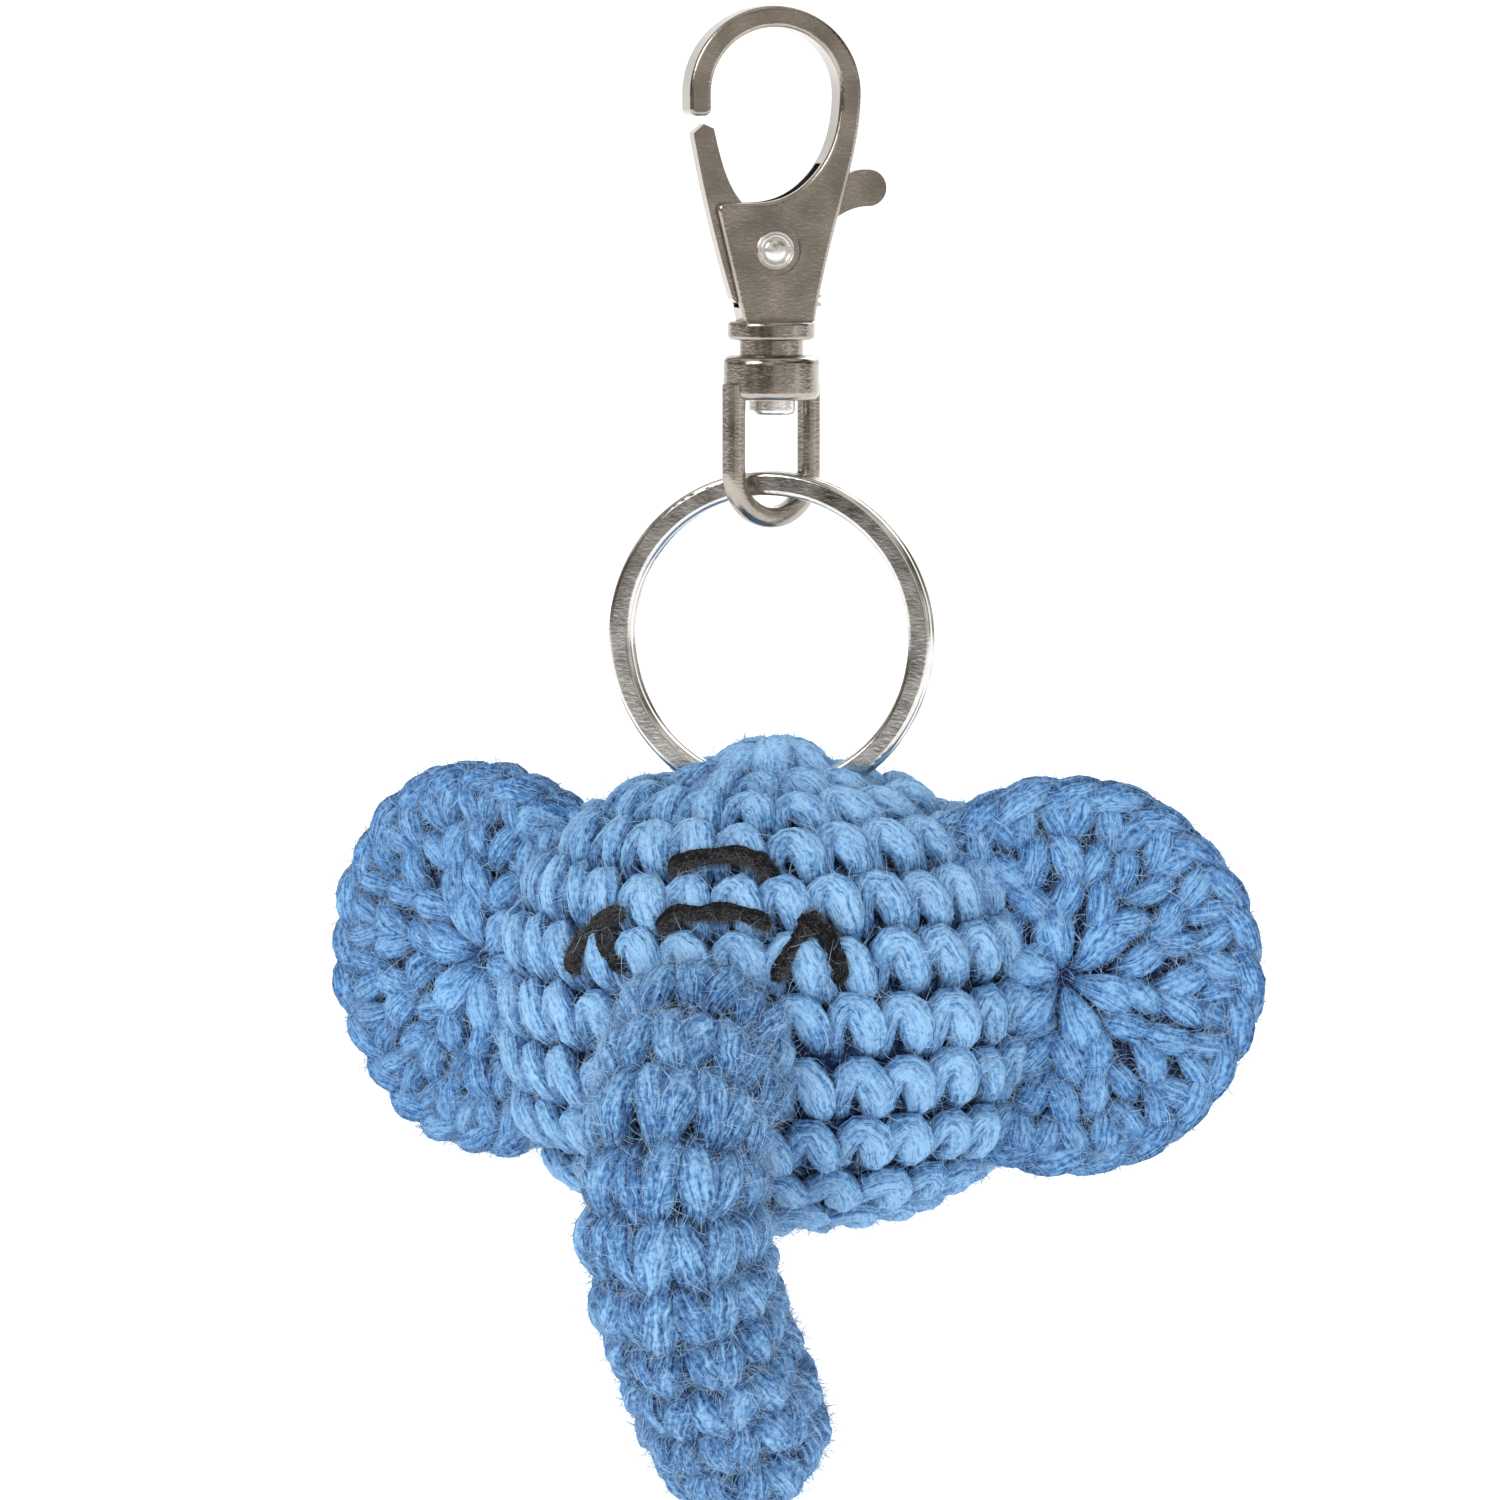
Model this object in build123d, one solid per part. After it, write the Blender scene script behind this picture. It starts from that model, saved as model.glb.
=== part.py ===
from build123d import *
import math
import os

# Crocheted elephant-head charm on a swivel lobster clasp and a split ring.
# Millimetres. +Z is up, the elephant faces -Y, its own left side is +X.
# The origin is the centre of the clasp's arch, which everything hangs from.

# Clasp: lobster hook
HOOK_INNER_RADIUS = 4.9
HOOK_WIRE = 1.6
HOOK_DEPTH = 3.3
HOOK_EDGE_ROUND = 0.3
HOOK_TIP_Z = -1.65
HOOK_BASE_Z = -16.9
SLOT_WIDTH = 1.8
SLOT_TOP_Z = -5.2
SLOT_FLOOR_Z = -15.9
FLANGE_RADIUS = 3.26
FLANGE_THICKNESS = 1.4
NECK_RADIUS = 2.4
NECK_BOTTOM_Z = -19.4

# Gate lever, its rivet and its spring
PIVOT_Z = -11.6
LEVER_THICKNESS = 1.65
RIVET_RADIUS = 0.75
RIVET_HEAD_RADIUS = 1.46
RIVET_HEAD_THICKNESS = 0.25
RIVET_DOME_RADIUS = 0.86
RIVET_RECESS_RADIUS = 1.9
RIVET_RECESS_DEPTH = 0.3
GATE_RUNNING_FIT = 0.05
SPRING_X = 3.1
SPRING_COIL_RADIUS = 0.55
SPRING_WIRE_RADIUS = 0.16
SPRING_PITCH = 0.72
SPRING_HEIGHT = 3.0

# Swivel
SWIVEL_PIN_RADIUS = 1.1
SWIVEL_FIT = 0.06
SWIVEL_HEAD_RADIUS = 1.75
SWIVEL_HEAD_THICKNESS = 1.1
SWIVEL_PLAY = 0.05
PIN_TOP_Z = -16.6
COLLAR_RADIUS = 3.6
COLLAR_HEIGHT = 3.3
EYE_HALF_WIDTH = 3.4
EYE_BEND_Z = -28.15
EYE_WIRE_WIDTH = 1.6
EYE_WIRE_DEPTH = 1.8
EYE_WIRE_ROUND = 0.75

# Rest angles of the swivelling pieces about Z
CLASP_TURN = 28
EYE_TURN = 50

# Split ring: two turns of flattened wire with one crossover
RING_OUTER_RADIUS = 12.5
RING_WIRE_HEIGHT = 1.8
RING_COIL_THICKNESS = 0.97
RING_COIL_SPACING = 1.02
RING_WIRE_ROUND = 0.4
RING_TOP_Z = -28.1
RING_CROSSOVER_ANGLE = -76
RING_CROSSOVER_SPAN = 24
RING_END_GAP = 3
RING_SWEEP_RADIUS = 1.28
RING_MID_RADIUS = RING_OUTER_RADIUS - RING_WIRE_HEIGHT / 2
RING_CENTRE_Z = RING_TOP_Z - RING_OUTER_RADIUS
RING_BOTTOM_WIRE_Z = RING_CENTRE_Z - RING_MID_RADIUS

# Head
HEAD_CENTRE_Z = -67.2
HEAD_RADIUS = 20.0
HEAD_HALF_HEIGHT = 17.2
HEAD_TOP_POWER = 2.35
HEAD_BOTTOM_POWER = 2.9
COVER_THICKNESS = 2.4
STUFFING_GAP = 0.3
CROWN_FLOOR_Z = -55.4
KNOB_RADIUS = 4.7
KNOB_CENTRE_Z = -52.6
HEAD_SWING = 25

# Ears
EAR_RADIUS = 14.7
EAR_THICKNESS = 3.0
EAR_EDGE_ROUND = 1.3
EAR_CENTRE = (22.3, 0.4, -65.4)
EAR_SWEEP = 24.5
EAR_GAP = 1.7
SEAM_GAP = 1.3
SEAM_YARN_RADIUS = 0.45
SEAM_YARN_OFFSET = 0.6

# Trunk
TRUNK_RADIUS = 6.2
TRUNK_WALL = 2.2
TRUNK_PATH = [
    (0.0, -13.5, -67.0),
    (0.0, -20.5, -69.6),
    (0.0, -25.6, -75.2),
    (0.1, -26.1, -82.6),
    (1.0, -22.6, -89.8),
    (2.3, -18.2, -96.7),
]
TRUNK_ROOT_Z = -70.0
TRUNK_HINGE = (-20.4, -65.2)
TRUNK_SWING_BACK = 6
TRUNK_SWING_FORWARD = 32
TRUNK_SEAM_RADIUS = 5.2

# Embroidery: strands of yarn, each through points of (degrees from the face line toward +X, height)
EMBROIDERY_RADIUS = 0.6
EMBROIDERY_CLEARANCE = 0.08
LEFT_EYE = [
    [(16.8, -63.4), (19.0, -62.0), (22.3, -60.6), (24.5, -59.7)],
    [(23.1, -59.9), (26.7, -60.6), (29.2, -62.1), (29.8, -63.5)],
]
RIGHT_EYE = [
    [(-31.7, -63.6), (-30.7, -62.4), (-27.3, -61.1), (-22.6, -59.7)],
    [(-24.1, -60.5), (-23.1, -61.9), (-19.6, -63.2)],
]
UPPER_BROW = [
    [(-8.8, -56.0), (-2.4, -55.5), (6.2, -55.2), (10.7, -55.5), (14.4, -56.1)],
]
LOWER_BROW = [
    [(-8.7, -60.2), (-6.4, -59.4), (-0.1, -59.3), (6.5, -59.2), (12.8, -59.7)],
]


def clasp_turned(shape):
    """Put a clasp piece, drawn flat in the XZ plane, at its rest angle."""
    return Rot(0, 0, CLASP_TURN) * shape


def turned_about(shape, point, axis, degrees):
    """Turn a shape about an axis direction through a point."""
    return shape.rotate(Axis(point, axis), degrees)


# ---------------------------------------------------------------- clasp

def hook_outline():
    """Face of the hook: arch, tapering limb and body plate."""
    outer = HOOK_INNER_RADIUS + HOOK_WIRE
    inner = HOOK_INNER_RADIUS
    edges = [
        Line((-outer, HOOK_TIP_Z), (-outer, 0)),
        ThreePointArc((-outer, 0), (0, outer), (outer, 0)),
        Spline([(outer, 0), (5.6, -6.0), (3.0, HOOK_BASE_Z)], tangents=[(0, -1), (-0.16, -1)]),
        Line((3.0, HOOK_BASE_Z), (-2.4, HOOK_BASE_Z)),
        Line((-2.4, HOOK_BASE_Z), (-4.5, -8.1)),
        Line((-4.5, -8.1), (-1.6, -8.1)),
        Spline([(-1.6, -8.1), (2.6, -6.4), (inner, 0)], tangents=[(1, 0), (0, 1)]),
        ThreePointArc((inner, 0), (0, inner), (-inner, 0)),
        Line((-inner, 0), (-inner, HOOK_TIP_Z)),
        Line((-inner, HOOK_TIP_Z), (-outer, HOOK_TIP_Z)),
    ]
    face = Plane.XZ * make_face(Curve() + edges)
    corners = face.vertices().filter_by(lambda v: v.Z < HOOK_TIP_Z + 0.01 and v.Z > HOOK_BASE_Z + 1)
    tips = corners.filter_by(lambda v: v.Z > HOOK_TIP_Z - 0.01)
    shoulder = corners.filter_by(lambda v: v.X < -4.4 and v.Z < HOOK_TIP_Z - 1)
    return fillet(tips + shoulder, 0.5)


def make_hook_body():
    """Cast clasp body with its lever slot, rivet holes, flange and neck."""
    body = extrude(hook_outline(), HOOK_DEPTH / 2, both=True)
    face_edges = body.edges().filter_by(lambda e: abs(abs(e.center().Y) - HOOK_DEPTH / 2) < 0.01)
    body = fillet(face_edges.filter_by(lambda e: e.center().Z > HOOK_BASE_Z + 0.1), HOOK_EDGE_ROUND)
    flange = Pos(0, 0, HOOK_BASE_Z - FLANGE_THICKNESS / 2) * Cylinder(FLANGE_RADIUS, FLANGE_THICKNESS)
    flange = fillet(flange.edges(), 0.3)
    neck_height = HOOK_BASE_Z - NECK_BOTTOM_Z
    neck = Pos(0, 0, NECK_BOTTOM_Z + neck_height / 2) * Cylinder(NECK_RADIUS, neck_height)
    body = body + flange + neck
    slot_height = SLOT_TOP_Z - SLOT_FLOOR_Z
    body -= Pos(0, 0, SLOT_FLOOR_Z + slot_height / 2) * Box(24, SLOT_WIDTH, slot_height)
    body -= cross_cylinder(RIVET_RADIUS + 0.02, HOOK_DEPTH * 2)
    for side in (-1, 1):
        recess = cross_cylinder(RIVET_RECESS_RADIUS, RIVET_RECESS_DEPTH)
        body -= Pos(0, side * (HOOK_DEPTH / 2 - RIVET_RECESS_DEPTH / 2), 0) * recess
    pin_depth = PIN_TOP_Z - NECK_BOTTOM_Z
    body -= Pos(0, 0, NECK_BOTTOM_Z + pin_depth / 2) * Cylinder(SWIVEL_PIN_RADIUS + 0.02, pin_depth)
    return clasp_turned(body)


def cross_cylinder(radius, length):
    """Cylinder along Y, centred on the gate rivet."""
    return Pos(0, 0, PIVOT_Z) * Rot(90, 0, 0) * Cylinder(radius, length)


def make_gate_lever():
    """Gate and thumb tab in one lever, bored for the rivet."""
    edges = [
        Spline([(-6.1, -2.95), (-5.0, -8.3), (-3.15, -15.2)]),
        Spline([(-3.15, -15.2), (-2.4, -15.65), (-0.9, -15.2), (1.3, -14.0), (2.6, -11.9),
                (5.3, -8.9), (7.3, -8.4)]),
        ThreePointArc((7.3, -8.4), (8.6, -7.0), (7.2, -5.65)),
        Spline([(7.2, -5.65), (5.2, -6.3), (3.2, -8.3), (0.9, -9.3), (-0.8, -9.2), (-2.3, -8.2),
                (-3.5, -6.3), (-4.55, -2.6)]),
        Line((-4.55, -2.6), (-5.3, -2.25)),
        Line((-5.3, -2.25), (-6.1, -2.95)),
    ]
    lever = extrude(Plane.XZ * make_face(Curve() + edges), LEVER_THICKNESS / 2, both=True)
    lever -= cross_cylinder(RIVET_RADIUS + GATE_RUNNING_FIT, LEVER_THICKNESS * 2)
    return clasp_turned(lever)


def make_gate_rivet():
    """Rivet with a flat head and a small dome on both sides."""
    head_face = HOOK_DEPTH / 2 - RIVET_RECESS_DEPTH
    rivet = cross_cylinder(RIVET_RADIUS, head_face * 2)
    for side in (-1, 1):
        head = cross_cylinder(RIVET_HEAD_RADIUS, RIVET_HEAD_THICKNESS)
        rivet += Pos(0, side * (head_face + RIVET_HEAD_THICKNESS / 2), 0) * head
        dome = Pos(0, side * (head_face + RIVET_HEAD_THICKNESS), 0) * cross_cylinder(RIVET_DOME_RADIUS, 0.2)
        rivet += dome
    return clasp_turned(rivet)


def make_gate_spring():
    """Compression spring standing on the slot floor under the thumb side of the lever."""
    start_z = SLOT_FLOOR_Z + SPRING_WIRE_RADIUS + 0.03
    path = Helix(SPRING_PITCH, SPRING_HEIGHT, SPRING_COIL_RADIUS)
    section = Plane(origin=path @ 0, z_dir=path % 0) * Circle(SPRING_WIRE_RADIUS)
    coil = sweep(section, path=path, is_frenet=True)
    return clasp_turned(Pos(SPRING_X, 0, start_z) * coil)


# ---------------------------------------------------------------- swivel and ring

def make_swivel_rivet():
    """Pin pressed into the neck, with the head that carries the eye."""
    head_top = NECK_BOTTOM_Z - COLLAR_HEIGHT - 2 * SWIVEL_PLAY
    pin_height = PIN_TOP_Z - head_top
    pin = Pos(0, 0, head_top + pin_height / 2) * Cylinder(SWIVEL_PIN_RADIUS, pin_height)
    head = Cylinder(SWIVEL_HEAD_RADIUS, SWIVEL_HEAD_THICKNESS)
    head = fillet(head.edges().sort_by(Axis.Z)[0], 0.4)
    return pin + Pos(0, 0, head_top - SWIVEL_HEAD_THICKNESS / 2) * head


def make_swivel_eye():
    """Round collar with the U-shaped eye below it."""
    collar_top = NECK_BOTTOM_Z - SWIVEL_PLAY
    collar = Cylinder(COLLAR_RADIUS, COLLAR_HEIGHT)
    collar = Pos(0, 0, collar_top - COLLAR_HEIGHT / 2) * fillet(collar.edges(), 0.6)
    leg_top = collar_top - COLLAR_HEIGHT + 1.2
    path = Curve() + [
        Line((-EYE_HALF_WIDTH, 0, leg_top), (-EYE_HALF_WIDTH, 0, EYE_BEND_Z)),
        ThreePointArc((-EYE_HALF_WIDTH, 0, EYE_BEND_Z), (0, 0, EYE_BEND_Z - EYE_HALF_WIDTH),
                      (EYE_HALF_WIDTH, 0, EYE_BEND_Z)),
        Line((EYE_HALF_WIDTH, 0, EYE_BEND_Z), (EYE_HALF_WIDTH, 0, leg_top)),
    ]
    section = RectangleRounded(EYE_WIRE_WIDTH, EYE_WIRE_DEPTH, EYE_WIRE_ROUND)
    loop = sweep(Plane.XY.offset(leg_top) * Pos(-EYE_HALF_WIDTH, 0) * section, path=Wire(path.edges()))
    eye = collar + loop
    eye -= Pos(0, 0, collar_top - COLLAR_HEIGHT / 2) * Cylinder(SWIVEL_PIN_RADIUS + SWIVEL_FIT, 2 * COLLAR_HEIGHT)
    clear_bottom = collar_top - COLLAR_HEIGHT
    clear = Pos(0, 0, clear_bottom - 1.0) * Cylinder(SWIVEL_HEAD_RADIUS + 0.2, 2.0)
    return Rot(0, 0, EYE_TURN) * (eye - clear)


def ring_section(angle, level):
    """Section of the ring wire at an angle round the ring and a level along its axis."""
    section = RectangleRounded(RING_WIRE_HEIGHT, RING_COIL_THICKNESS, RING_WIRE_ROUND)
    at_zero = Plane.XY * Pos(RING_MID_RADIUS, level) * section
    return at_zero.rotate(Axis((0, 0, 0), (0, -1, 0)), angle)


def make_split_ring():
    """Two flat turns joined by a crossover, with both wire ends beside it."""
    level = RING_COIL_SPACING / 2
    first = RING_CROSSOVER_ANGLE + RING_CROSSOVER_SPAN / 2
    turn = 360 - RING_CROSSOVER_SPAN
    axis = Axis((0, 0, 0), (0, -1, 0))
    front_turn = revolve(ring_section(first, -level), axis, turn)
    back_turn = revolve(ring_section(first, level), axis, turn)
    steps = 8
    sections = []
    for step in range(steps + 1):
        part = step / steps
        rise = 0.5 - 0.5 * math.cos(math.pi * part)
        angle = first - RING_CROSSOVER_SPAN * (1 - part)
        sections.append(ring_section(angle, -level + 2 * level * rise))
    crossover = loft(sections)
    ring = front_turn + crossover + back_turn
    return Pos(0, 0, RING_CENTRE_Z) * ring


# ---------------------------------------------------------------- head

def head_profile(grow):
    """Half profile of the head from its top to its bottom, moved outward by grow."""
    points = []
    count = 28
    for step in range(count + 1):
        angle = math.pi * step / count
        power = HEAD_TOP_POWER if angle < math.pi / 2 else HEAD_BOTTOM_POWER
        sine = max(math.sin(angle), 0.0)
        cosine = math.cos(angle)
        radius = HEAD_RADIUS * sine ** (2 / power)
        height = HEAD_HALF_HEIGHT * math.copysign(abs(cosine) ** (2 / power), cosine)
        points.append((radius, height))
    moved = []
    for index, (radius, height) in enumerate(points):
        before = points[max(index - 1, 0)]
        after = points[min(index + 1, count)]
        run_r = after[0] - before[0]
        run_z = after[1] - before[1]
        length = math.hypot(run_r, run_z)
        normal_r, normal_z = -run_z / length, run_r / length
        if index in (0, count):
            normal_r, normal_z = 0.0, math.copysign(1.0, height)
        moved.append((radius + grow * normal_r, HEAD_CENTRE_Z + height + grow * normal_z))
    moved[0] = (0.0, moved[0][1])
    moved[-1] = (0.0, moved[-1][1])
    return moved


def head_solid(grow):
    """The head as a solid of revolution, moved outward by grow."""
    profile = head_profile(grow)
    edges = [
        Spline(profile, tangents=[(1, 0), (-1, 0)]),
        Line(profile[-1], profile[0]),
    ]
    return revolve(Plane.XZ * make_face(Curve() + edges), Axis.Z, 360)


def head_radius_at(height, grow=0.0):
    """Radius of the head's surface at a height."""
    profile = head_profile(grow)
    for (r0, z0), (r1, z1) in zip(profile, profile[1:]):
        if z1 <= height <= z0:
            return r0 + (r1 - r0) * (z0 - height) / (z0 - z1)
    return 0.0


def ring_passages():
    """Round spaces for the ring in the crown, at rest and at both ends of the head's swing."""
    pivot = (0, 0, RING_BOTTOM_WIRE_Z)
    torus = Pos(0, 0, RING_CENTRE_Z) * Rot(90, 0, 0) * Torus(RING_MID_RADIUS, RING_SWEEP_RADIUS)
    return [turned_about(torus, pivot, (1, 0, 0), degrees) for degrees in (0, HEAD_SWING, -HEAD_SWING)]


def below(solid, height):
    """Keep what lies under a height."""
    return solid & Pos(0, 0, height - 50) * Box(120, 120, 100)


def make_head_cover():
    """Crocheted head shell with its crown knob and the passage for the ring."""
    shell = head_solid(0) + Pos(0, 0, KNOB_CENTRE_Z) * Sphere(KNOB_RADIUS)
    shell -= below(head_solid(-COVER_THICKNESS), CROWN_FLOOR_Z)
    for passage in ring_passages():
        shell -= passage
    return shell


def make_head_stuffing():
    """Filling, a little smaller than the hollow of the head."""
    return below(head_solid(-COVER_THICKNESS - STUFFING_GAP), CROWN_FLOOR_Z - STUFFING_GAP)


def tube_through(points, radius):
    """Round tube along a smooth curve through points."""
    path = Spline(points)
    section = Plane(origin=path @ 0, z_dir=path % 0) * Circle(radius)
    return sweep(section, path=path)


def yarn_on_face(strand):
    """One strand of yarn lying on the face, clear of the cover."""
    lift = EMBROIDERY_RADIUS + EMBROIDERY_CLEARANCE
    points = []
    for degrees, height in strand:
        angle = math.radians(degrees)
        radius = head_radius_at(height, lift)
        points.append((radius * math.sin(angle), -radius * math.cos(angle), height))
    return tube_through(points, EMBROIDERY_RADIUS)


def embroidery(strands):
    """Strands of yarn that meet on the face, as one stitched feature."""
    stitched = yarn_on_face(strands[0])
    for strand in strands[1:]:
        stitched += yarn_on_face(strand)
    return stitched


# ---------------------------------------------------------------- ears

def mirrored(shape, side):
    """The +X shape itself for the left side, or its mirror image for the right."""
    return shape if side > 0 else mirror(shape, about=Plane.YZ)


def make_ear(side):
    """Crocheted disc, cut back where it meets the head and the sewing yarn."""
    disc = fillet(Cylinder(EAR_RADIUS, EAR_THICKNESS).edges(), EAR_EDGE_ROUND)
    disc = Pos(*EAR_CENTRE) * Rot(0, 0, EAR_SWEEP) * Rot(90, 0, 0) * disc
    return mirrored(disc - head_solid(EAR_GAP), side)


def make_ear_seam_yarn(side):
    """Sewing yarn along the line where the ear's plane meets the head."""
    sweep_angle = math.radians(EAR_SWEEP)
    points = []
    for step in range(9):
        height = EAR_CENTRE[2] + 10.5 * math.cos(math.pi * step / 8)
        radius = head_radius_at(height, SEAM_YARN_OFFSET)
        points.append(plane_meets_circle(sweep_angle, radius) + (height,))
    return mirrored(tube_through(points, SEAM_YARN_RADIUS), side)


def plane_meets_circle(sweep_angle, radius):
    """Where the ear's middle plane leaves a circle of the head, on the ear's side."""
    out_x, out_y = math.cos(sweep_angle), math.sin(sweep_angle)
    along = EAR_CENTRE[0] * out_x + EAR_CENTRE[1] * out_y
    across_x = EAR_CENTRE[0] - along * out_x
    across_y = EAR_CENTRE[1] - along * out_y
    reach = math.sqrt(radius ** 2 - across_x ** 2 - across_y ** 2)
    return (across_x + reach * out_x, across_y + reach * out_y)


# ---------------------------------------------------------------- trunk

def trunk_tube(radius):
    """Bent tube with a round tip."""
    path = Spline(TRUNK_PATH)
    section = Plane(origin=path @ 0, z_dir=path % 0) * Circle(radius)
    return sweep(section, path=path) + Pos(*TRUNK_PATH[-1]) * Sphere(radius)


def cut_by_swinging_head(trunk, grow):
    """Cut the trunk's root back so that it clears the head over its whole swing."""
    head = head_solid(grow)
    hinge = (0, TRUNK_HINGE[0], TRUNK_HINGE[1])
    steps = 6
    for step in range(steps + 1):
        degrees = -TRUNK_SWING_FORWARD + (TRUNK_SWING_FORWARD + TRUNK_SWING_BACK) * step / steps
        trunk -= turned_about(head, hinge, (1, 0, 0), -degrees)
    return max(trunk.solids(), key=lambda solid: solid.volume)


def make_trunk_cover():
    """Crocheted tube, open at its root and closed at its tip."""
    shell = trunk_tube(TRUNK_RADIUS) - trunk_tube(TRUNK_RADIUS - TRUNK_WALL)
    return cut_by_swinging_head(shell, SEAM_GAP)


def make_trunk_stuffing():
    """Filling, a little smaller than the hollow of the trunk."""
    core = trunk_tube(TRUNK_RADIUS - TRUNK_WALL - STUFFING_GAP)
    return cut_by_swinging_head(core, SEAM_GAP)


def make_trunk_seam_yarn():
    """Loop of sewing yarn on the head under the rim of the trunk, with two ends."""
    points = []
    count = 14
    for step in range(count + 1):
        turn = math.radians(100 + 340 * step / count)
        height = TRUNK_ROOT_Z + TRUNK_SEAM_RADIUS * math.sin(turn)
        across = TRUNK_SEAM_RADIUS * math.cos(turn)
        radius = head_radius_at(height, SEAM_YARN_OFFSET)
        points.append((across, -math.sqrt(radius ** 2 - across ** 2), height))
    return tube_through(points, SEAM_YARN_RADIUS)


# ---------------------------------------------------------------- export

def make_parts():
    """Every separate piece, by node name."""
    return {
        "hook_body": make_hook_body(),
        "gate_lever": make_gate_lever(),
        "gate_rivet": make_gate_rivet(),
        "gate_spring": make_gate_spring(),
        "swivel_rivet": make_swivel_rivet(),
        "swivel_eye": make_swivel_eye(),
        "split_ring": make_split_ring(),
        "head_cover": make_head_cover(),
        "head_stuffing": make_head_stuffing(),
        "trunk_cover": make_trunk_cover(),
        "trunk_stuffing": make_trunk_stuffing(),
        "left_ear": make_ear(1),
        "right_ear": make_ear(-1),
        "left_eye_stitches": embroidery(LEFT_EYE),
        "right_eye_stitches": embroidery(RIGHT_EYE),
        "upper_brow_stitch": embroidery(UPPER_BROW),
        "lower_brow_stitch": embroidery(LOWER_BROW),
        "left_ear_seam_yarn": make_ear_seam_yarn(1),
        "right_ear_seam_yarn": make_ear_seam_yarn(-1),
        "trunk_seam_yarn": make_trunk_seam_yarn(),
    }


os.makedirs("parts", exist_ok=True)
for node, solid in make_parts().items():
    export_step(solid, f"parts/{node}.step")
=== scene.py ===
import math

import bpy
import numpy as np
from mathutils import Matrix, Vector


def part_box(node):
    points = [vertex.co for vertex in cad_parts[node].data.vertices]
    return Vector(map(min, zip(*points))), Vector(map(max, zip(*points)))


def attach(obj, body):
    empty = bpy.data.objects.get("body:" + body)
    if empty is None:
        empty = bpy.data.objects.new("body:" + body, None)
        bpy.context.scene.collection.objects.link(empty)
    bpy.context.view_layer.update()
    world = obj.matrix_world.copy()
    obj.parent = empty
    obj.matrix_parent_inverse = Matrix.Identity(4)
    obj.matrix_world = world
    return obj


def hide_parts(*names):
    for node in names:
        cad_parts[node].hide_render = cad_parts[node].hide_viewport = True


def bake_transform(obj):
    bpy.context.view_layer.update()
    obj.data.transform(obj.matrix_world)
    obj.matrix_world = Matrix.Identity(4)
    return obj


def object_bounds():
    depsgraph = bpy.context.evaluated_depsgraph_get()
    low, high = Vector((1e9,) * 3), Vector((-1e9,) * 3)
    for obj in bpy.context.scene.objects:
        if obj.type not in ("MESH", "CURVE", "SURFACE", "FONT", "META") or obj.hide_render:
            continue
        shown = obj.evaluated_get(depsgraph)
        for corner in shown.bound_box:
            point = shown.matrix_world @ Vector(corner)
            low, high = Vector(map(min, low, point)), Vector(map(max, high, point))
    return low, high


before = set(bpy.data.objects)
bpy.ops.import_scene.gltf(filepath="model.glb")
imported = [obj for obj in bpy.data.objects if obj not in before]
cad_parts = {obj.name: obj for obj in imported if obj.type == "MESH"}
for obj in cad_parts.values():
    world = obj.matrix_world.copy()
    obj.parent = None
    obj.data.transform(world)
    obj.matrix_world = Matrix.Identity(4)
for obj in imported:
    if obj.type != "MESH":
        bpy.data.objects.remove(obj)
cad_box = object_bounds()

# All sizes are millimetres unless a name says otherwise; meshes are scaled to metres when built.
MM = 0.001
TURN = 2 * math.pi

# ---------------------------------------------------------------- design values

HEAD_RADIUS = 20.0
HEAD_HALF_HEIGHT = 17.2
HEAD_CENTRE_Z = -67.2
HEAD_TOP_POWER = 2.35
HEAD_BOTTOM_POWER = 2.9
KNOB_RADIUS = 5.3
KNOB_CENTRE_Z = -53.5
HEAD_ROUNDS = (6, 12, 18, 24, 30, 30, 30, 30, 30, 24, 18, 12, 6)
HEAD_ROUND_SHIFT = 0.13
FULL_PITCH = 3.9
SMALLEST_STITCH = 0.45
CROWN_BUNDLES = 7
CROWN_REACH = 6.0
CROWN_SHIFT = 0.4
CROWN_SCALE = 1.1
HEAD_BACKING_LIFT = -0.95
HEAD_BACKING_END = 0.3

# Outline of the head: samples and how far they are averaged
OUTLINE_ANGLES = 721
OUTLINE_POINTS = 400
OUTLINE_SMOOTHING = 4
NORMAL_SMOOTHING = 9
POLE_RADIUS = 0.05

EAR_CENTRE = np.array((22.3, 0.4, -65.4))
EAR_SWEEP = math.radians(24.5)
EAR_ROUNDS = ((7, 4.3, 7.8, 1.02), (12, 7.3, 10.8, 0.98), (18, 10.3, 13.6, 0.92))
EAR_FACE_LIFT = 0.62
EAR_RIM_RADIUS = 13.6
EAR_RIM_LINKS = 24
EAR_EDGE_RADIUS = 13.9
# Painted highlight: lift added to the braided ear edge so that it takes the light crown colour
EAR_EDGE_PAINTED_LIGHT = 1.2
EAR_STAR_BUNDLES = 6
EAR_STAR_MIDDLE = 3.25
EAR_STAR_HEIGHT = -4.2
EAR_STAR_SCALE = 1.05
EAR_STAR_RINGS = 9
EAR_STITCH_RINGS = 10
EAR_ROUND_SHIFT = 0.27
EAR_RIM_HEIGHT = -1.6
EAR_EDGE_HEIGHT = -0.9
EAR_EDGE_FLATTEN = 0.2
EAR_STITCH_LIMIT = 0.82
# Radius and lift of the disc inside an ear, from its middle to its edge
EAR_CORE_FACE = ((0.1, 0.1575), (4.0, 0.1575), (8.0, 0.1575), (11.0, 0.1575))
EAR_CORE_EDGE = ((12.9, 0.135), (13.3, 0.0))

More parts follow.
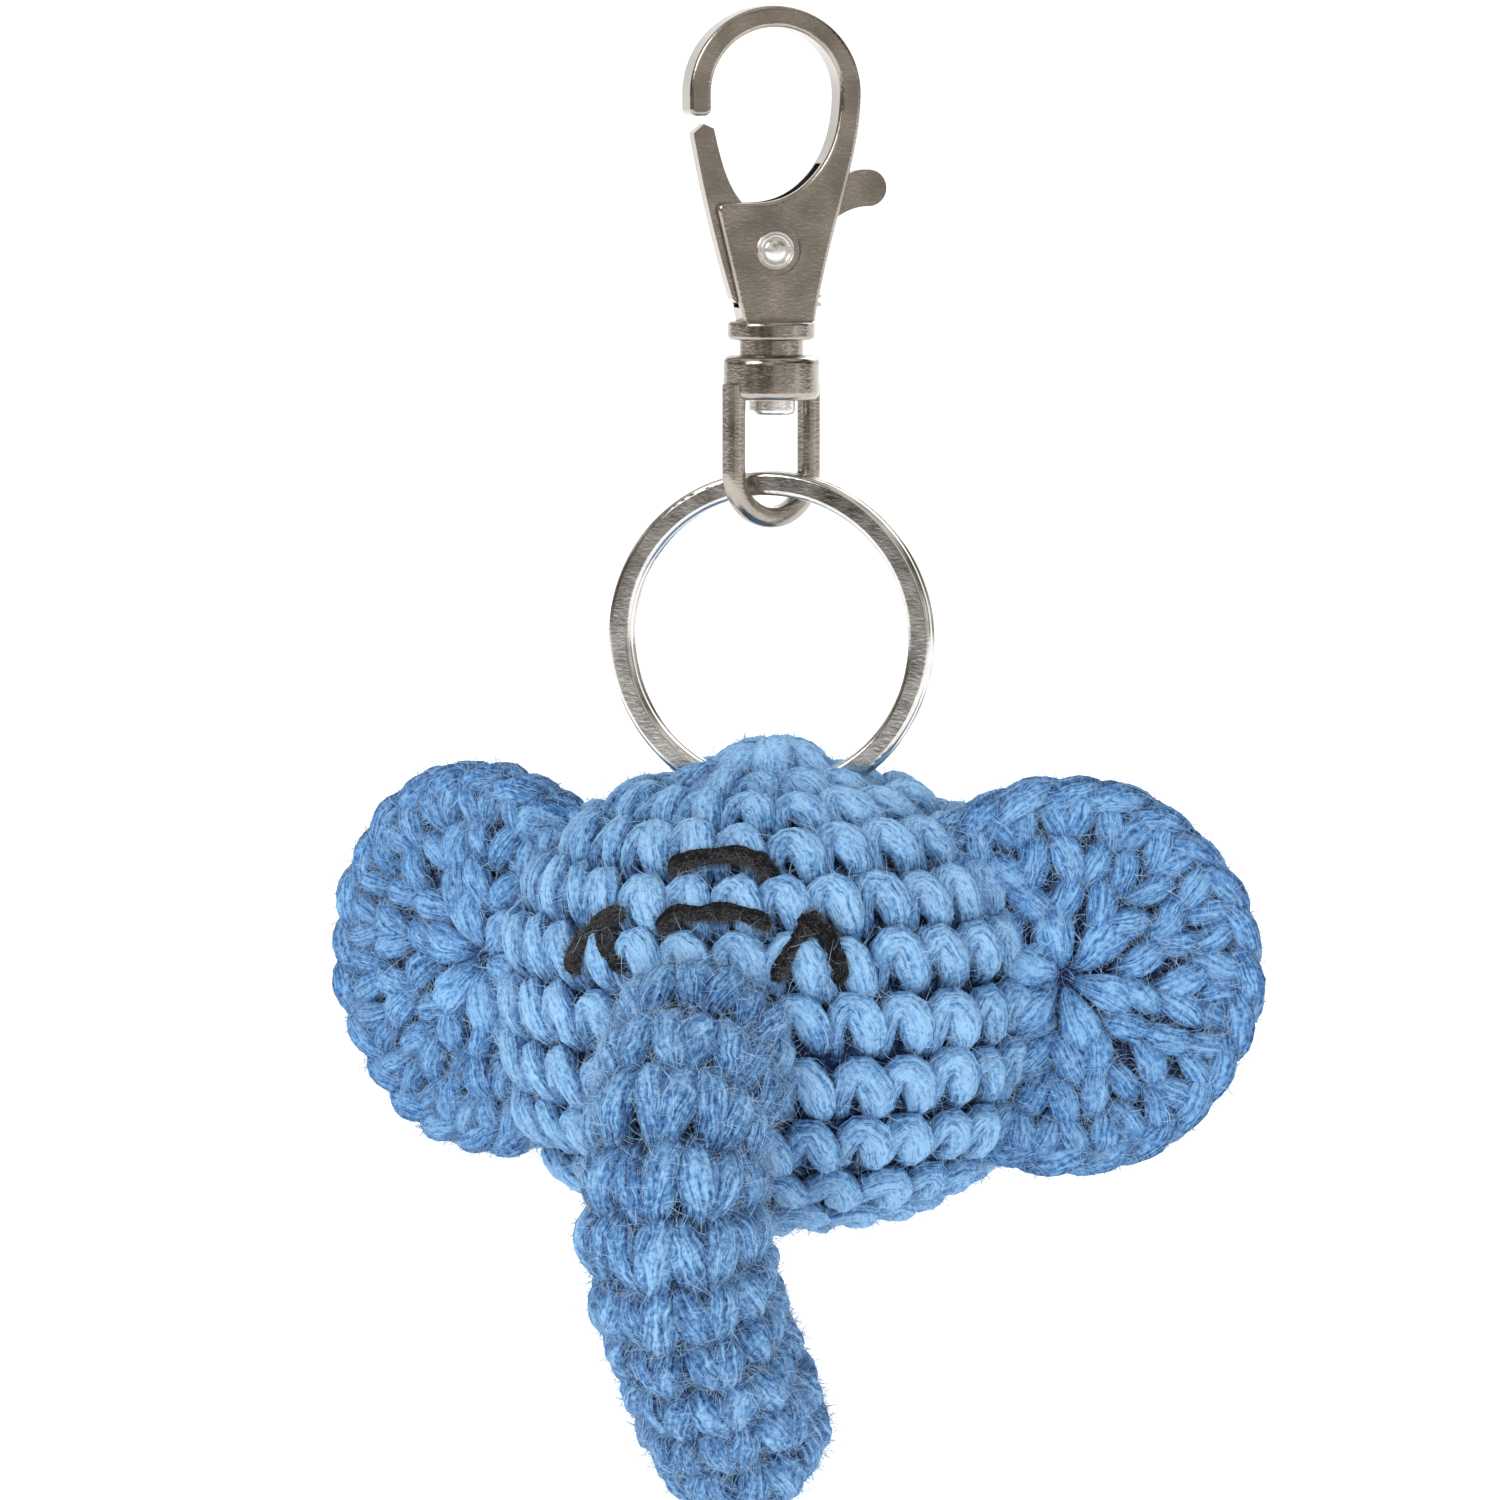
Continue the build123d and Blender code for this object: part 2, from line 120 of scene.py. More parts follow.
TRUNK_PATH = np.array((
    (0.0, -13.5, -67.0),
    (0.0, -20.5, -69.6),
    (0.0, -25.6, -75.2),
    (0.1, -26.1, -82.6),
    (1.0, -22.6, -89.8),
    (2.3, -18.2, -96.7),
))
TRUNK_RADIUS = 6.2
TRUNK_STITCHES = 8
TRUNK_ROW = 3.85
TRUNK_ROOT = 4.5
TRUNK_TIP_BUNDLES = 7
TRUNK_TIP_SCALE = 1.15
TRUNK_TIP_OVERLAP = 1.2
TRUNK_LAST_ROW = 2.0
TRUNK_SHIFT = 0.30
TRUNK_ROW_SHIFT = 0.12
TRUNK_SCALE = 1.28
TRUNK_STITCH_RINGS = 11
TRUNK_BACKING_LIFT = -1.0
TRUNK_PATH_POINTS = 400
TRUNK_FRAMES = 300
TRUNK_SMOOTHING = 8

# Black strands of the face: degrees from the face line toward +X, and height
EMBROIDERY_RADIUS = 0.57
EMBROIDERY_LIFT = 1.12
EMBROIDERY_FIBRES = 2600
EMBROIDERY_FUZZ_LENGTH = (0.3, 1.1)
EMBROIDERY_RINGS = 46
EMBROIDERY_WOBBLE = 0.10
EMBROIDERY_SWELL = 0.16
EMBROIDERY_RIDGE = 0.10
EMBROIDERY_TWIST = 2.2
EMBROIDERY_SHADE = 0.4
EMBROIDERY_TUCK = (0.35, 1.1)
EMBROIDERY = {
    "left_eye_stitches": (
        ((16.8, -63.4), (19.0, -62.0), (22.3, -60.6), (24.5, -59.7)),
        ((23.1, -59.9), (26.7, -60.6), (29.2, -62.1), (29.8, -63.5)),
    ),
    "right_eye_stitches": (
        ((-31.7, -63.6), (-30.7, -62.4), (-27.3, -61.1), (-22.6, -59.7)),
        ((-24.1, -60.5), (-23.1, -61.9), (-19.6, -63.2)),
    ),
    "upper_brow_stitch": (
        ((-8.8, -56.0), (-2.4, -55.5), (6.2, -55.2), (10.7, -55.5), (14.4, -56.1)),
    ),
    "lower_brow_stitch": (
        ((-8.7, -60.2), (-6.4, -59.4), (-0.1, -59.3), (6.5, -59.2), (12.8, -59.7)),
    ),
}

# Filling of the head and the trunk
FILLING_WAVES = 9
FILLING_ROWS = 60
FILLING_ROUGHNESS = 0.12
FILLING_SHADE = -0.5
HEAD_FILLING_START = 9.0
HEAD_FILLING_LIFT = -2.9
TRUNK_FILLING_START = 13.0
# The trunk's filling is slim near the root, where the seam yarn dips in as the trunk swings back
TRUNK_FILLING_TAPER = (15.5, 20.0)
TRUNK_FILLING_LIFT = (-3.8, -2.6)

# Rivet of the gate: heights are above the floor of the recess that each head sits in
CLASP_TURN = math.radians(28)
RIVET_FLOOR = 1.35
RIVET_SHAFT_RADIUS = 0.74
RIVET_HEAD_RADIUS = 1.45
RIVET_PLATE_HEIGHT = 0.13
RIVET_DOME_RADIUS = 0.88
RIVET_DOME_HEIGHT = 0.35
RIVET_RINGS = (1.1, 1.36)
RIVET_RING_HEIGHT = 0.25
RIVET_RING_WIDTH = 0.08
RIVET_SEAT_GAP = 0.01
RIVET_MIDDLE = 0.01

# Overcast seam yarn
SEAM_SAMPLES = 16
SEAM_PITCH = 3.0
SEAM_COIL = 1.0
SEAM_HALF_WIDTH = 0.6
SEAM_RINGS_PER_POINT = 14
SEAM_WOBBLE = 0.12
SEAM_SHADE = 0.1

# Yarn: its surface is ridged by the plies, and closer together outside, over OUTER_ARC degrees
YARN = 0.95
PLY_RIDGES = 6
RIDGE_DEPTH = 0.07
PLY_TWIST = 1.2
OUTER_ARC = (-30, 210)
OUTER_POINTS = 20
INNER_POINTS = 4
ARCH_RINGS = 14
BUNDLE_RINGS = 13
BUNDLE_END = 0.58
THINNEST_YARN = 0.1
SIDE_NUDGE = 0.02
# Lift value of the backing and the ear cores, which the yarn colours paint as the darkest shade
BACKING_SHADE = -1.3
EVEN_TONE = np.array([0.5])

# Unevenness of whole stitches and of their points: turn, arc, lift, half width, half depth
STITCH_WOBBLE = (0.035, 0.035, 0.09, 0.05, 0.05)
POINT_WOBBLE = (0.018, 0.018, 0.05, 0.035, 0.035)
# Waves of a round: size, number of waves, drift from round to round
ROUND_SWAY = ((0.12, 2, 1), (0.10, 5, 2))

# Loose fibres
FUZZ_LENGTH = (0.4, 2.6)
FUZZ_SPREAD = 0.95
FUZZ_SHORTNESS = 1.8
FUZZ_CURL = 0.8
FUZZ_DROOP = 0.35
FUZZ_ROOT_DEPTH = 0.08
FUZZ_TAPER = 0.75
FUZZ_RINGS = 4
FUZZ_HALF_WIDTH = 0.026
FUZZ_LIFT = 0.1
HEAD_FIBRES = 32000
EAR_FIBRES = 22000
TRUNK_FIBRES = 31000

# Random seeds
HEAD_SEED = 11
LEFT_EAR_SEED = 23
RIGHT_EAR_SEED = 29
TRUNK_SEED = 37
EMBROIDERY_SEED = 41
FILLING_SEED = 53
SEAM_SEED = 61

# Materials
YARN_BUMP = 0.30
METAL_BUMP = 0.05
PLIES = 11
WANDER_SCALE = 700
WANDER_REACH = 0.10
MATTED_SCALE = 2600
PATCH_SCALE = 260
# Stretch of the streaks: round the yarn, along it and from stitch to stitch
STREAK_STRETCH = (46.0, 3.4, 90.0)
YARN_LEVEL_DROP = 1.58
# Share of the lift (painted shade in the gaps and painted highlight on the crowns), the streaks, the mat, the
# patches, the plies and the tone in the level
YARN_LEVEL_SHARES = (0.29, 1.65, 1.20, 0.25, 0.05, 0.08)
DARKEST_FIBRE = 0.35
POLISH_SCALE = 380
SCRATCH_SCALE = 2400
SCRATCH_STRETCH = (1, 1, 2)
DULL_METAL = 0.72

# Studio, in metres
FLOOR_GAP = 0.004
PAPER_HALF_WIDTH = 1.6
PAPER_GLOW = 0.45
PAPER_PROFILE = ((-0.42, 0.0), (0.9, 0.0), (1.3, 0.1), (1.6, 0.4), (1.7, 0.9), (1.7, 3.0))
SOFT_COLOUR = (0.97, 0.98, 1.0)
SOFT_STRENGTH = 0.62
ROOM_SCALE = 3.1
ROOM_LIGHTER_ABOVE = 0.16
ROOM_STOPS = ((0.44, (0.030, 0.022, 0.015)), (0.55, (0.16, 0.13, 0.10)), (0.66, (1.0, 0.97, 0.92)))
# Lights: name, place, aim, size, power, seen in reflections
LIGHTS = (
    ("key", (-0.5, -0.9, 0.55), (0, 0, -0.05), 0.7, 6.0, True),
    ("fill", (0.9, -0.7, 0.1), (0, 0, -0.05), 0.9, 2.4, False),
    ("low_fill", (0.0, -0.6, -0.09), (0, 0, -0.08), 0.5, 0.9, False),
    ("back", (0.2, 0.9, 0.6), (0, 0, -0.05), 0.8, 4.0, True),
)

# Camera: degrees, metres, and the sensor in millimetres
CAMERA_AZIMUTH = 15.5
CAMERA_ELEVATION = 5
CAMERA_DISTANCE = 0.60
CAMERA_MIDDLE = (0.0, 0.0, -0.049)
CAMERA_SHIFT = 0.0016
VIEW_WIDTH = 0.1123
SENSOR_WIDTH = 36


# ---------------------------------------------------------------- small maths

def unit(vectors):
    """Vectors scaled to length one along the last axis."""
    return vectors / np.maximum(np.linalg.norm(vectors, axis=-1, keepdims=True), 1e-9)


def across(vectors, tangents):
    """The part of each vector square to its tangent, at length one."""
    return unit(vectors - tangents * np.sum(vectors * tangents, axis=-1, keepdims=True))


def smooth_through(control, count):
    """Catmull-Rom curves through control points of shape (curves, points, values)."""
    last = control.shape[1] - 1
    place = np.linspace(0, last, count)
    index = np.minimum(place.astype(int), last - 1)
    part = (place - index)[None, :, None]
    before = control[:, np.maximum(index - 1, 0)]
    start = control[:, index]
    end = control[:, index + 1]
    after = control[:, np.minimum(index + 2, last)]
    return 0.5 * (
        2 * start
        + (end - before) * part
        + (2 * before - 5 * start + 4 * end - after) * part ** 2
        + (3 * start - before - 3 * end + after) * part ** 3
    )


def smoothed(rows, reach):
    """Rows averaged with their neighbours, ends kept."""
    kernel = np.ones(2 * reach + 1) / (2 * reach + 1)
    padded = np.concatenate((np.repeat(rows[:1], reach, 0), rows, np.repeat(rows[-1:], reach, 0)))
    result = np.stack([np.convolve(padded[:, k], kernel, "valid") for k in range(rows.shape[1])], axis=1)
    result[0], result[-1] = rows[0], rows[-1]
    return result


def section_angles():
    """Angles round a yarn's section: close together outside, far apart where it is hidden."""
    start, end = np.radians(OUTER_ARC)
    outer = np.linspace(start, end, OUTER_POINTS)
    step = (start + TURN - end) / (INNER_POINTS + 1)
    inner = end + step * np.arange(1, INNER_POINTS + 1)
    return np.concatenate((outer, inner))


# ---------------------------------------------------------------- meshes

def tubes(centres, side_hint, widths, depths, angles, ridges, twist, lift, tone):
    """Closed yarn tubes. centres is (curves, rings, 3); widths, depths and lift are (curves, rings)."""
    curves, rings, _ = centres.shape
    count = len(angles)
    tangents = unit(np.gradient(centres, axis=1))
    sides = np.empty_like(centres)
    sides[:, 0] = across(side_hint, tangents[:, 0])
    for ring in range(1, rings):
        sides[:, ring] = across(sides[:, ring - 1], tangents[:, ring])
    outs = np.cross(sides, tangents)
    steps = np.linalg.norm(np.diff(centres, axis=1), axis=2)
    along = np.concatenate((np.zeros((curves, 1)), np.cumsum(steps, axis=1)), axis=1)
    ridge = 1 + ridges * np.cos(PLY_RIDGES * angles + twist * along[..., None])
    wide = widths[..., None] * np.cos(angles) * ridge
    deep = depths[..., None] * np.sin(angles) * ridge
    sideways, outward = sides[:, :, None], outs[:, :, None]
    points = centres[:, :, None] + sideways * wide[..., None] + outward * deep[..., None]
    radial = unit(sideways * np.cos(angles)[:, None] + outward * np.sin(angles)[:, None])
    vertex = np.arange(curves * rings * count).reshape(curves, rings, count)
    after = np.roll(vertex, -1, axis=2)
    quads = np.stack((vertex[:, :-1], vertex[:, 1:], after[:, 1:], after[:, :-1]), axis=-1)
    turn_at = (angles - angles[0]) / TURN
    turn_next = np.append(turn_at[1:], 1.0)
    u = np.stack((turn_at, turn_at, turn_next, turn_next), axis=-1)
    u = np.broadcast_to(u, quads.shape)
    low = np.broadcast_to(along[:, :-1, None], quads.shape[:3]) / TURN
    high = np.broadcast_to(along[:, 1:, None], quads.shape[:3]) / TURN
    v = np.stack((low, high, high, low), axis=-1)
    return {
        "points": points.reshape(-1, 3),
        "radial": radial.reshape(-1, 3),
        "faces": [quads.reshape(-1, 4), vertex[:, 0], vertex[:, -1, ::-1]],
        "uv": np.stack((u, v), axis=-1).reshape(-1, 4, 2),
        # lift: height of each point over the surface, which the yarn colours turn into painted shade where
        # low and painted highlight where high
        "lift": (lift[..., None] + depths[..., None] * np.sin(angles)).reshape(-1),
        "tone": np.broadcast_to(tone[:, None, None], vertex.shape).reshape(-1),
    }


def volume(points, quads):
    """Volume inside quads round a closed form, below zero when they face inward."""
    middle = points.mean(axis=0)
    corner = points[quads] - middle
    first = np.cross(corner[:, 1], corner[:, 2])
    second = np.cross(corner[:, 2], corner[:, 3])
    return np.sum(corner[:, 0] * (first + second)) / 6


def skin(points, shade):
    """Closed surface from a (rows, columns, 3) grid. shade is its lift value, dark when low."""
    rows, columns, _ = points.shape
    vertex = np.arange(rows * columns).reshape(rows, columns)
    after = np.roll(vertex, -1, axis=1)
    quads = np.stack((vertex[:-1], after[:-1], after[1:], vertex[1:]), axis=-1).reshape(-1, 4)
    flat = points.reshape(-1, 3)
    faces = [quads, vertex[:1, ::-1], vertex[-1:]]
    if volume(flat, quads) < 0:
        faces = [face[:, ::-1] for face in faces]
    return {
        "points": flat,
        "radial": unit(flat - flat.mean(axis=0)),
        "faces": faces,
        "uv": np.zeros((len(quads), 4, 2)),
        "lift": np.full(len(flat), shade),
        "tone": np.full(len(flat), 0.5),
    }


def build(name, parts, material):
    """One Blender object from several mesh parts."""
    points, loops, sizes, uvs, lifts, tones = [], [], [], [], [], []
    offset = 0
    for part in parts:
        points.append(part["points"])
        lifts.append(part["lift"])
        tones.append(part["tone"])
        for index, faces in enumerate(part["faces"]):
            loops.append((faces + offset).reshape(-1))
            sizes.append(np.full(len(faces), faces.shape[1]))
            uvs.append(part["uv"].reshape(-1) if index == 0 else np.zeros(faces.size * 2))
        offset += len(part["points"])
    points, loops, sizes = np.concatenate(points), np.concatenate(loops), np.concatenate(sizes)
    mesh = bpy.data.meshes.new(name)
    mesh.vertices.add(len(points))
    mesh.vertices.foreach_set("co", (points * MM).astype(np.float32).reshape(-1))
    mesh.loops.add(len(loops))
    mesh.loops.foreach_set("vertex_index", loops.astype(np.int32))
    mesh.polygons.add(len(sizes))
    starts = np.concatenate(((0,), np.cumsum(sizes)[:-1]))
    mesh.polygons.foreach_set("loop_start", starts.astype(np.int32))
    mesh.polygons.foreach_set("use_smooth", np.ones(len(sizes), bool))
    mesh.uv_layers.new(name="UVMap").data.foreach_set("uv", np.concatenate(uvs).astype(np.float32))
    # lift carries the level of painted shade and painted highlight; tone is the yarn's own random tone
    for label, values in (("lift", lifts), ("tone", tones)):
        layer = mesh.attributes.new(label, "FLOAT", "POINT")
        layer.data.foreach_set("value", np.concatenate(values).astype(np.float32))
    mesh.update(calc_edges=True)
    mesh.validate()
    mesh.materials.append(material)
    piece = bpy.data.objects.new(name, mesh)
    bpy.context.scene.collection.objects.link(piece)
    return piece


# ---------------------------------------------------------------- surfaces the stitches lie on

def head_curve():
    """Arc, radius, height and normal down the head's outline, one YARN inside its surface."""
    angle = np.linspace(0, math.pi, OUTLINE_ANGLES)
    power = np.where(angle < math.pi / 2, HEAD_TOP_POWER, HEAD_BOTTOM_POWER)
    radius = HEAD_RADIUS * np.clip(np.sin(angle), 0, 1) ** (2 / power)
    height = HEAD_HALF_HEIGHT * np.sign(np.cos(angle)) * np.abs(np.cos(angle)) ** (2 / power)
    height = height + HEAD_CENTRE_Z
    under = np.sqrt(np.clip(KNOB_RADIUS ** 2 - radius ** 2, 0, None)) + KNOB_CENTRE_Z
    on_top = (angle < math.pi / 2) & (radius < KNOB_RADIUS)
    height = np.where(on_top, np.maximum(height, under), height)
    outline = np.stack((radius, height), axis=1)
    outline = smoothed(outline, OUTLINE_SMOOTHING)
    steps = np.linalg.norm(np.diff(outline, axis=0), axis=1)
    arc = np.concatenate(((0,), np.cumsum(steps)))
    even = np.linspace(0, arc[-1], OUTLINE_POINTS)
    outline = np.stack([np.interp(even, arc, outline[:, k]) for k in (0, 1)], axis=1)
    tangent = unit(np.gradient(outline, axis=0))
    normal = np.stack((-tangent[:, 1], tangent[:, 0]), axis=1)
    normal = unit(smoothed(normal, NORMAL_SMOOTHING))
    outline = outline - YARN * normal
    outline[:, 0] = np.maximum(outline[:, 0], POLE_RADIUS)
    steps = np.linalg.norm(np.diff(outline, axis=0), axis=1)
    arc = np.concatenate(((0,), np.cumsum(steps)))
    return arc, outline[:, 0], outline[:, 1], normal


HEAD_ARC, HEAD_R, HEAD_Z, HEAD_N = head_curve()


def on_head(turn, arc, lift):
    """Point on the head. turn is measured from the face (-Y) toward +X, arc from the crown down."""
    normal_r = np.interp(arc, HEAD_ARC, HEAD_N[:, 0])
    normal_z = np.interp(arc, HEAD_ARC, HEAD_N[:, 1])
    radius = np.interp(arc, HEAD_ARC, HEAD_R) + lift * normal_r
    height = np.interp(arc, HEAD_ARC, HEAD_Z) + lift * normal_z
    return np.stack((radius * np.sin(turn), -radius * np.cos(turn), height), axis=-1)


def on_ear(side, face):
    """Function giving a point on an ear's front (face 1) or back (face -1)."""
    out = np.array((side * math.cos(EAR_SWEEP), math.sin(EAR_SWEEP), 0.0))
    front = np.array((side * math.sin(EAR_SWEEP), -math.cos(EAR_SWEEP), 0.0))
    up = np.array((0.0, 0.0, -float(side * face)))
    centre = EAR_CENTRE * (side, 1, 1)

    def place(turn, radius, lift):
        flat = out * (radius * np.cos(turn))[..., None] + up * (radius * np.sin(turn))[..., None]
        return centre + flat + front * (face * (EAR_FACE_LIFT + lift))[..., None]

    return place


def trunk_frames():
    """Evenly spaced centres of the trunk with their tangents and side directions."""
    curve = smooth_through(TRUNK_PATH[None], TRUNK_PATH_POINTS)[0]
    steps = np.linalg.norm(np.diff(curve, axis=0), axis=1)
    arc = np.concatenate(((0,), np.cumsum(steps)))
    even = np.linspace(0, arc[-1], TRUNK_FRAMES)
    curve = np.stack([np.interp(even, arc, curve[:, k]) for k in range(3)], axis=1)
    tangent = unit(smoothed(np.gradient(curve, axis=0), TRUNK_SMOOTHING))
    side = np.empty_like(curve)
    side[0] = across(np.array((1.0, 0, 0)), tangent[0])
    for index in range(1, len(curve)):
        side[index] = across(side[index - 1], tangent[index])
    return even, curve, tangent, side


TRUNK_ARC, TRUNK_CURVE, TRUNK_TANGENT, TRUNK_SIDE = trunk_frames()


def on_trunk(turn, arc, lift):
    """Point on the trunk. turn goes round it, arc runs down it and on over the round tip."""
    length = TRUNK_ARC[-1]
    radius = TRUNK_RADIUS - YARN
    tube = np.minimum(arc, length)

    def at(rows):
        return np.stack([np.interp(tube, TRUNK_ARC, rows[:, k]) for k in range(3)], axis=-1)

    centre, tangent = at(TRUNK_CURVE), unit(at(TRUNK_TANGENT))
    side = across(at(TRUNK_SIDE), tangent)
    front = np.cross(side, tangent)
    radial = side * np.cos(turn)[..., None] + front * np.sin(turn)[..., None]
    over = np.clip((arc - length) / radius, 0, math.pi / 2)
    outward = radial * np.cos(over)[..., None] + tangent * np.sin(over)[..., None]
    return centre + outward * (radius + lift)[..., None]


# ---------------------------------------------------------------- stitches

# Control points: across (share of the pitch), up (share of the row), lift, half width, half depth.
ARCH = np.array((
    (-0.20, -0.60, -1.50, 0.55, 0.50),
    (-0.31, -0.41, -0.62, 0.78, 0.66),
    (-0.37, -0.15, -0.06, 0.90, 0.78),
    (-0.28, 0.12, 0.12, 1.04, 0.90),
    (-0.05, 0.27, 0.26, 1.22, 0.98),
    (0.14, 0.13, 0.44, 1.42, 1.06),
    (0.27, -0.11, 0.38, 1.40, 1.02),
    (0.37, -0.35, -0.10, 1.14, 0.86),
    (0.41, -0.59, -1.40, 0.70, 0.56),
))
LEG = np.array((
    (0.01, -0.66, -1.10, 0.50, 0.46),
    (0.08, -0.46, -0.15, 0.84, 0.74),
    (0.20, -0.08, 0.34, 1.18, 1.00),
    (0.30, 0.26, 0.18, 1.08, 0.90),
    (0.38, 0.58, -1.00, 0.56, 0.52),
))
BUNDLE = np.array((
    (0.00, -0.58, -0.95, 0.40, 0.42),
    (0.04, -0.34, 0.10, 0.95, 0.80),
    (-0.04, 0.05, 0.50, 1.50, 1.05),
    (0.03, 0.36, 0.20, 1.30, 0.92),
    (0.00, 0.58, -1.10, 0.60, 0.50),
))
LINK = np.array((
    (-0.80, -0.75, -0.70, 0.42, 0.42),
    (-0.45, -0.35, 0.05, 0.92, 0.80),
    (0.00, 0.05, 0.32, 1.16, 0.96),
    (0.42, 0.30, 0.05, 0.94, 0.80),
    (0.78, 0.42, -0.80, 0.42, 0.42),
))
MIRROR = np.array((-1, 1, 1, 1, 1))


def stitch_row(template, count, middle, height, shift, rng, scale=1.0):
    """Control points (stitch, point, value) of one round: turn, arc, lift, half width, half depth."""
    pitch = TURN / count
    column = (np.arange(count) + shift) * pitch
    wobble = rng.normal(0, 1, (count, 1, 5)) * STITCH_WOBBLE
    local = template[None] * (1, 1, 1, scale, scale)
    local = local + wobble
    local = local + rng.normal(0, 1, local.shape) * POINT_WOBBLE
    turn = column[:, None] + local[..., 0] * pitch
    sway = sum(size * np.sin(waves * column + drift * middle) for size, waves, drift in ROUND_SWAY)
    arc = middle + sway[:, None] - local[..., 1] * height
    return np.stack((turn, arc, local[..., 2] * scale, local[..., 3], local[..., 4]), axis=-1)


def stitches_on(surface, control, rings, rng, keep=None):
    """Yarn tubes for stitches whose control points lie on a surface."""
    fine = smooth_through(control, rings)
    centres = surface(fine[..., 0], fine[..., 1], fine[..., 2])
    middle = rings // 2
    nudge = surface(fine[:, middle, 0] + SIDE_NUDGE, fine[:, middle, 1], fine[:, middle, 2])
    hint = unit(nudge - centres[:, middle])
    if keep is not None:
        kept = keep(centres)
        fine, centres, hint = fine[kept], centres[kept], hint[kept]
    tone = rng.uniform(0, 1, len(centres))
    return tubes(
        centres, hint, np.clip(fine[..., 3], THINNEST_YARN, None), np.clip(fine[..., 4], THINNEST_YARN, None),
        section_angles(), RIDGE_DEPTH, PLY_TWIST, fine[..., 2], tone,
    )


def backing(surface, columns, arcs, lift):
    """Closed surface behind the stitches, painted with the darkest yarn colour as the shade in the gaps
    between them.
    """
    turn, arc = np.meshgrid(np.linspace(0, TURN, columns, endpoint=False), arcs)
    return skin(surface(turn, arc, np.full(turn.shape, lift)), BACKING_SHADE)


def head_parts(rng):
    """All rounds of the head, from the crown down, and the backing behind them, painted dark as shade."""
    height = HEAD_ARC[-1] / len(HEAD_ROUNDS)
    parts = []
    for index, count in enumerate(HEAD_ROUNDS):
        middle = (index + 0.5) * height
        radius = np.interp(middle, HEAD_ARC, HEAD_R)
        fullness = TURN * radius / count / FULL_PITCH
        scale = min(1.0, SMALLEST_STITCH + (1 - SMALLEST_STITCH) * fullness)
        control = stitch_row(ARCH, count, middle, height, index * HEAD_ROUND_SHIFT, rng, scale)
        parts.append(stitches_on(on_head, control, ARCH_RINGS, rng))
    middle = BUNDLE_END * CROWN_REACH
    crown = stitch_row(BUNDLE, CROWN_BUNDLES, middle, CROWN_REACH, CROWN_SHIFT, rng, CROWN_SCALE)
    parts.append(stitches_on(on_head, crown, BUNDLE_RINGS, rng))
    arcs = np.linspace(HEAD_BACKING_END, HEAD_ARC[-1] - HEAD_BACKING_END, 40)
    parts.append(backing(on_head, 64, arcs, HEAD_BACKING_LIFT))
    return parts


def outside_head(centres):
    """Which stitches of an ear have their middle outside the head."""
    middle = centres[:, centres.shape[1] // 2]
    height = (middle[:, 2] - HEAD_CENTRE_Z) / HEAD_HALF_HEIGHT
    around = np.hypot(middle[:, 0], middle[:, 1]) / HEAD_RADIUS
    power = np.where(height > 0, HEAD_TOP_POWER, HEAD_BOTTOM_POWER)
    return np.abs(height) ** power + around ** power > EAR_STITCH_LIMIT


def ear_parts(side, rng):
    """Star, rounds of V stitches on both faces and the braided rim of one ear."""
    parts = []
    for face in (1, -1):
        surface = on_ear(side, face)
        hub = stitch_row(BUNDLE, EAR_STAR_BUNDLES, EAR_STAR_MIDDLE, EAR_STAR_HEIGHT, 0.3, rng, EAR_STAR_SCALE)
        parts.append(stitches_on(surface, hub, EAR_STAR_RINGS, rng, keep=outside_head))
        for index, (count, inner, outer, scale) in enumerate(EAR_ROUNDS):
            for leg in (LEG, LEG * MIRROR):
                middle, shift = (inner + outer) / 2, EAR_ROUND_SHIFT * index
                control = stitch_row(leg, count, middle, inner - outer, shift, rng, scale)
                parts.append(stitches_on(surface, control, EAR_STITCH_RINGS, rng, keep=outside_head))
        rim = stitch_row(LINK, EAR_RIM_LINKS, EAR_RIM_RADIUS, EAR_RIM_HEIGHT, 0.5 * (face < 0), rng)
        parts.append(stitches_on(surface, rim, EAR_STITCH_RINGS, rng, keep=outside_head))
    edge = stitch_row(LINK, EAR_RIM_LINKS, EAR_EDGE_RADIUS, EAR_EDGE_HEIGHT, 0.25, rng)
    edge[..., 2] = EAR_EDGE_FLATTEN * edge[..., 2] - EAR_FACE_LIFT
    edge_part = stitches_on(on_ear(side, 1), edge, EAR_STITCH_RINGS, rng, keep=outside_head)
    # Painted highlight on the ear edge: its lift is raised only to lighten its colour
    edge_part["lift"] = edge_part["lift"] + EAR_EDGE_PAINTED_LIGHT
    parts.append(edge_part)
    return parts


def ear_core(side):
    """Thin disc between the two faces of an ear, so that no light shows through, painted with the dark
    backing shade.
    """
    radii, lifts = np.array(EAR_CORE_FACE + EAR_CORE_EDGE).T
    radii = np.append(radii, radii[-2::-1])
    lifts = np.append(lifts, -lifts[-2::-1])
    turn, radius = np.meshgrid(np.linspace(0, TURN, 64, endpoint=False), radii)
    lift = np.broadcast_to(lifts[:, None], turn.shape)
    return skin(on_ear(side, 1)(turn, radius, lift - EAR_FACE_LIFT), BACKING_SHADE)


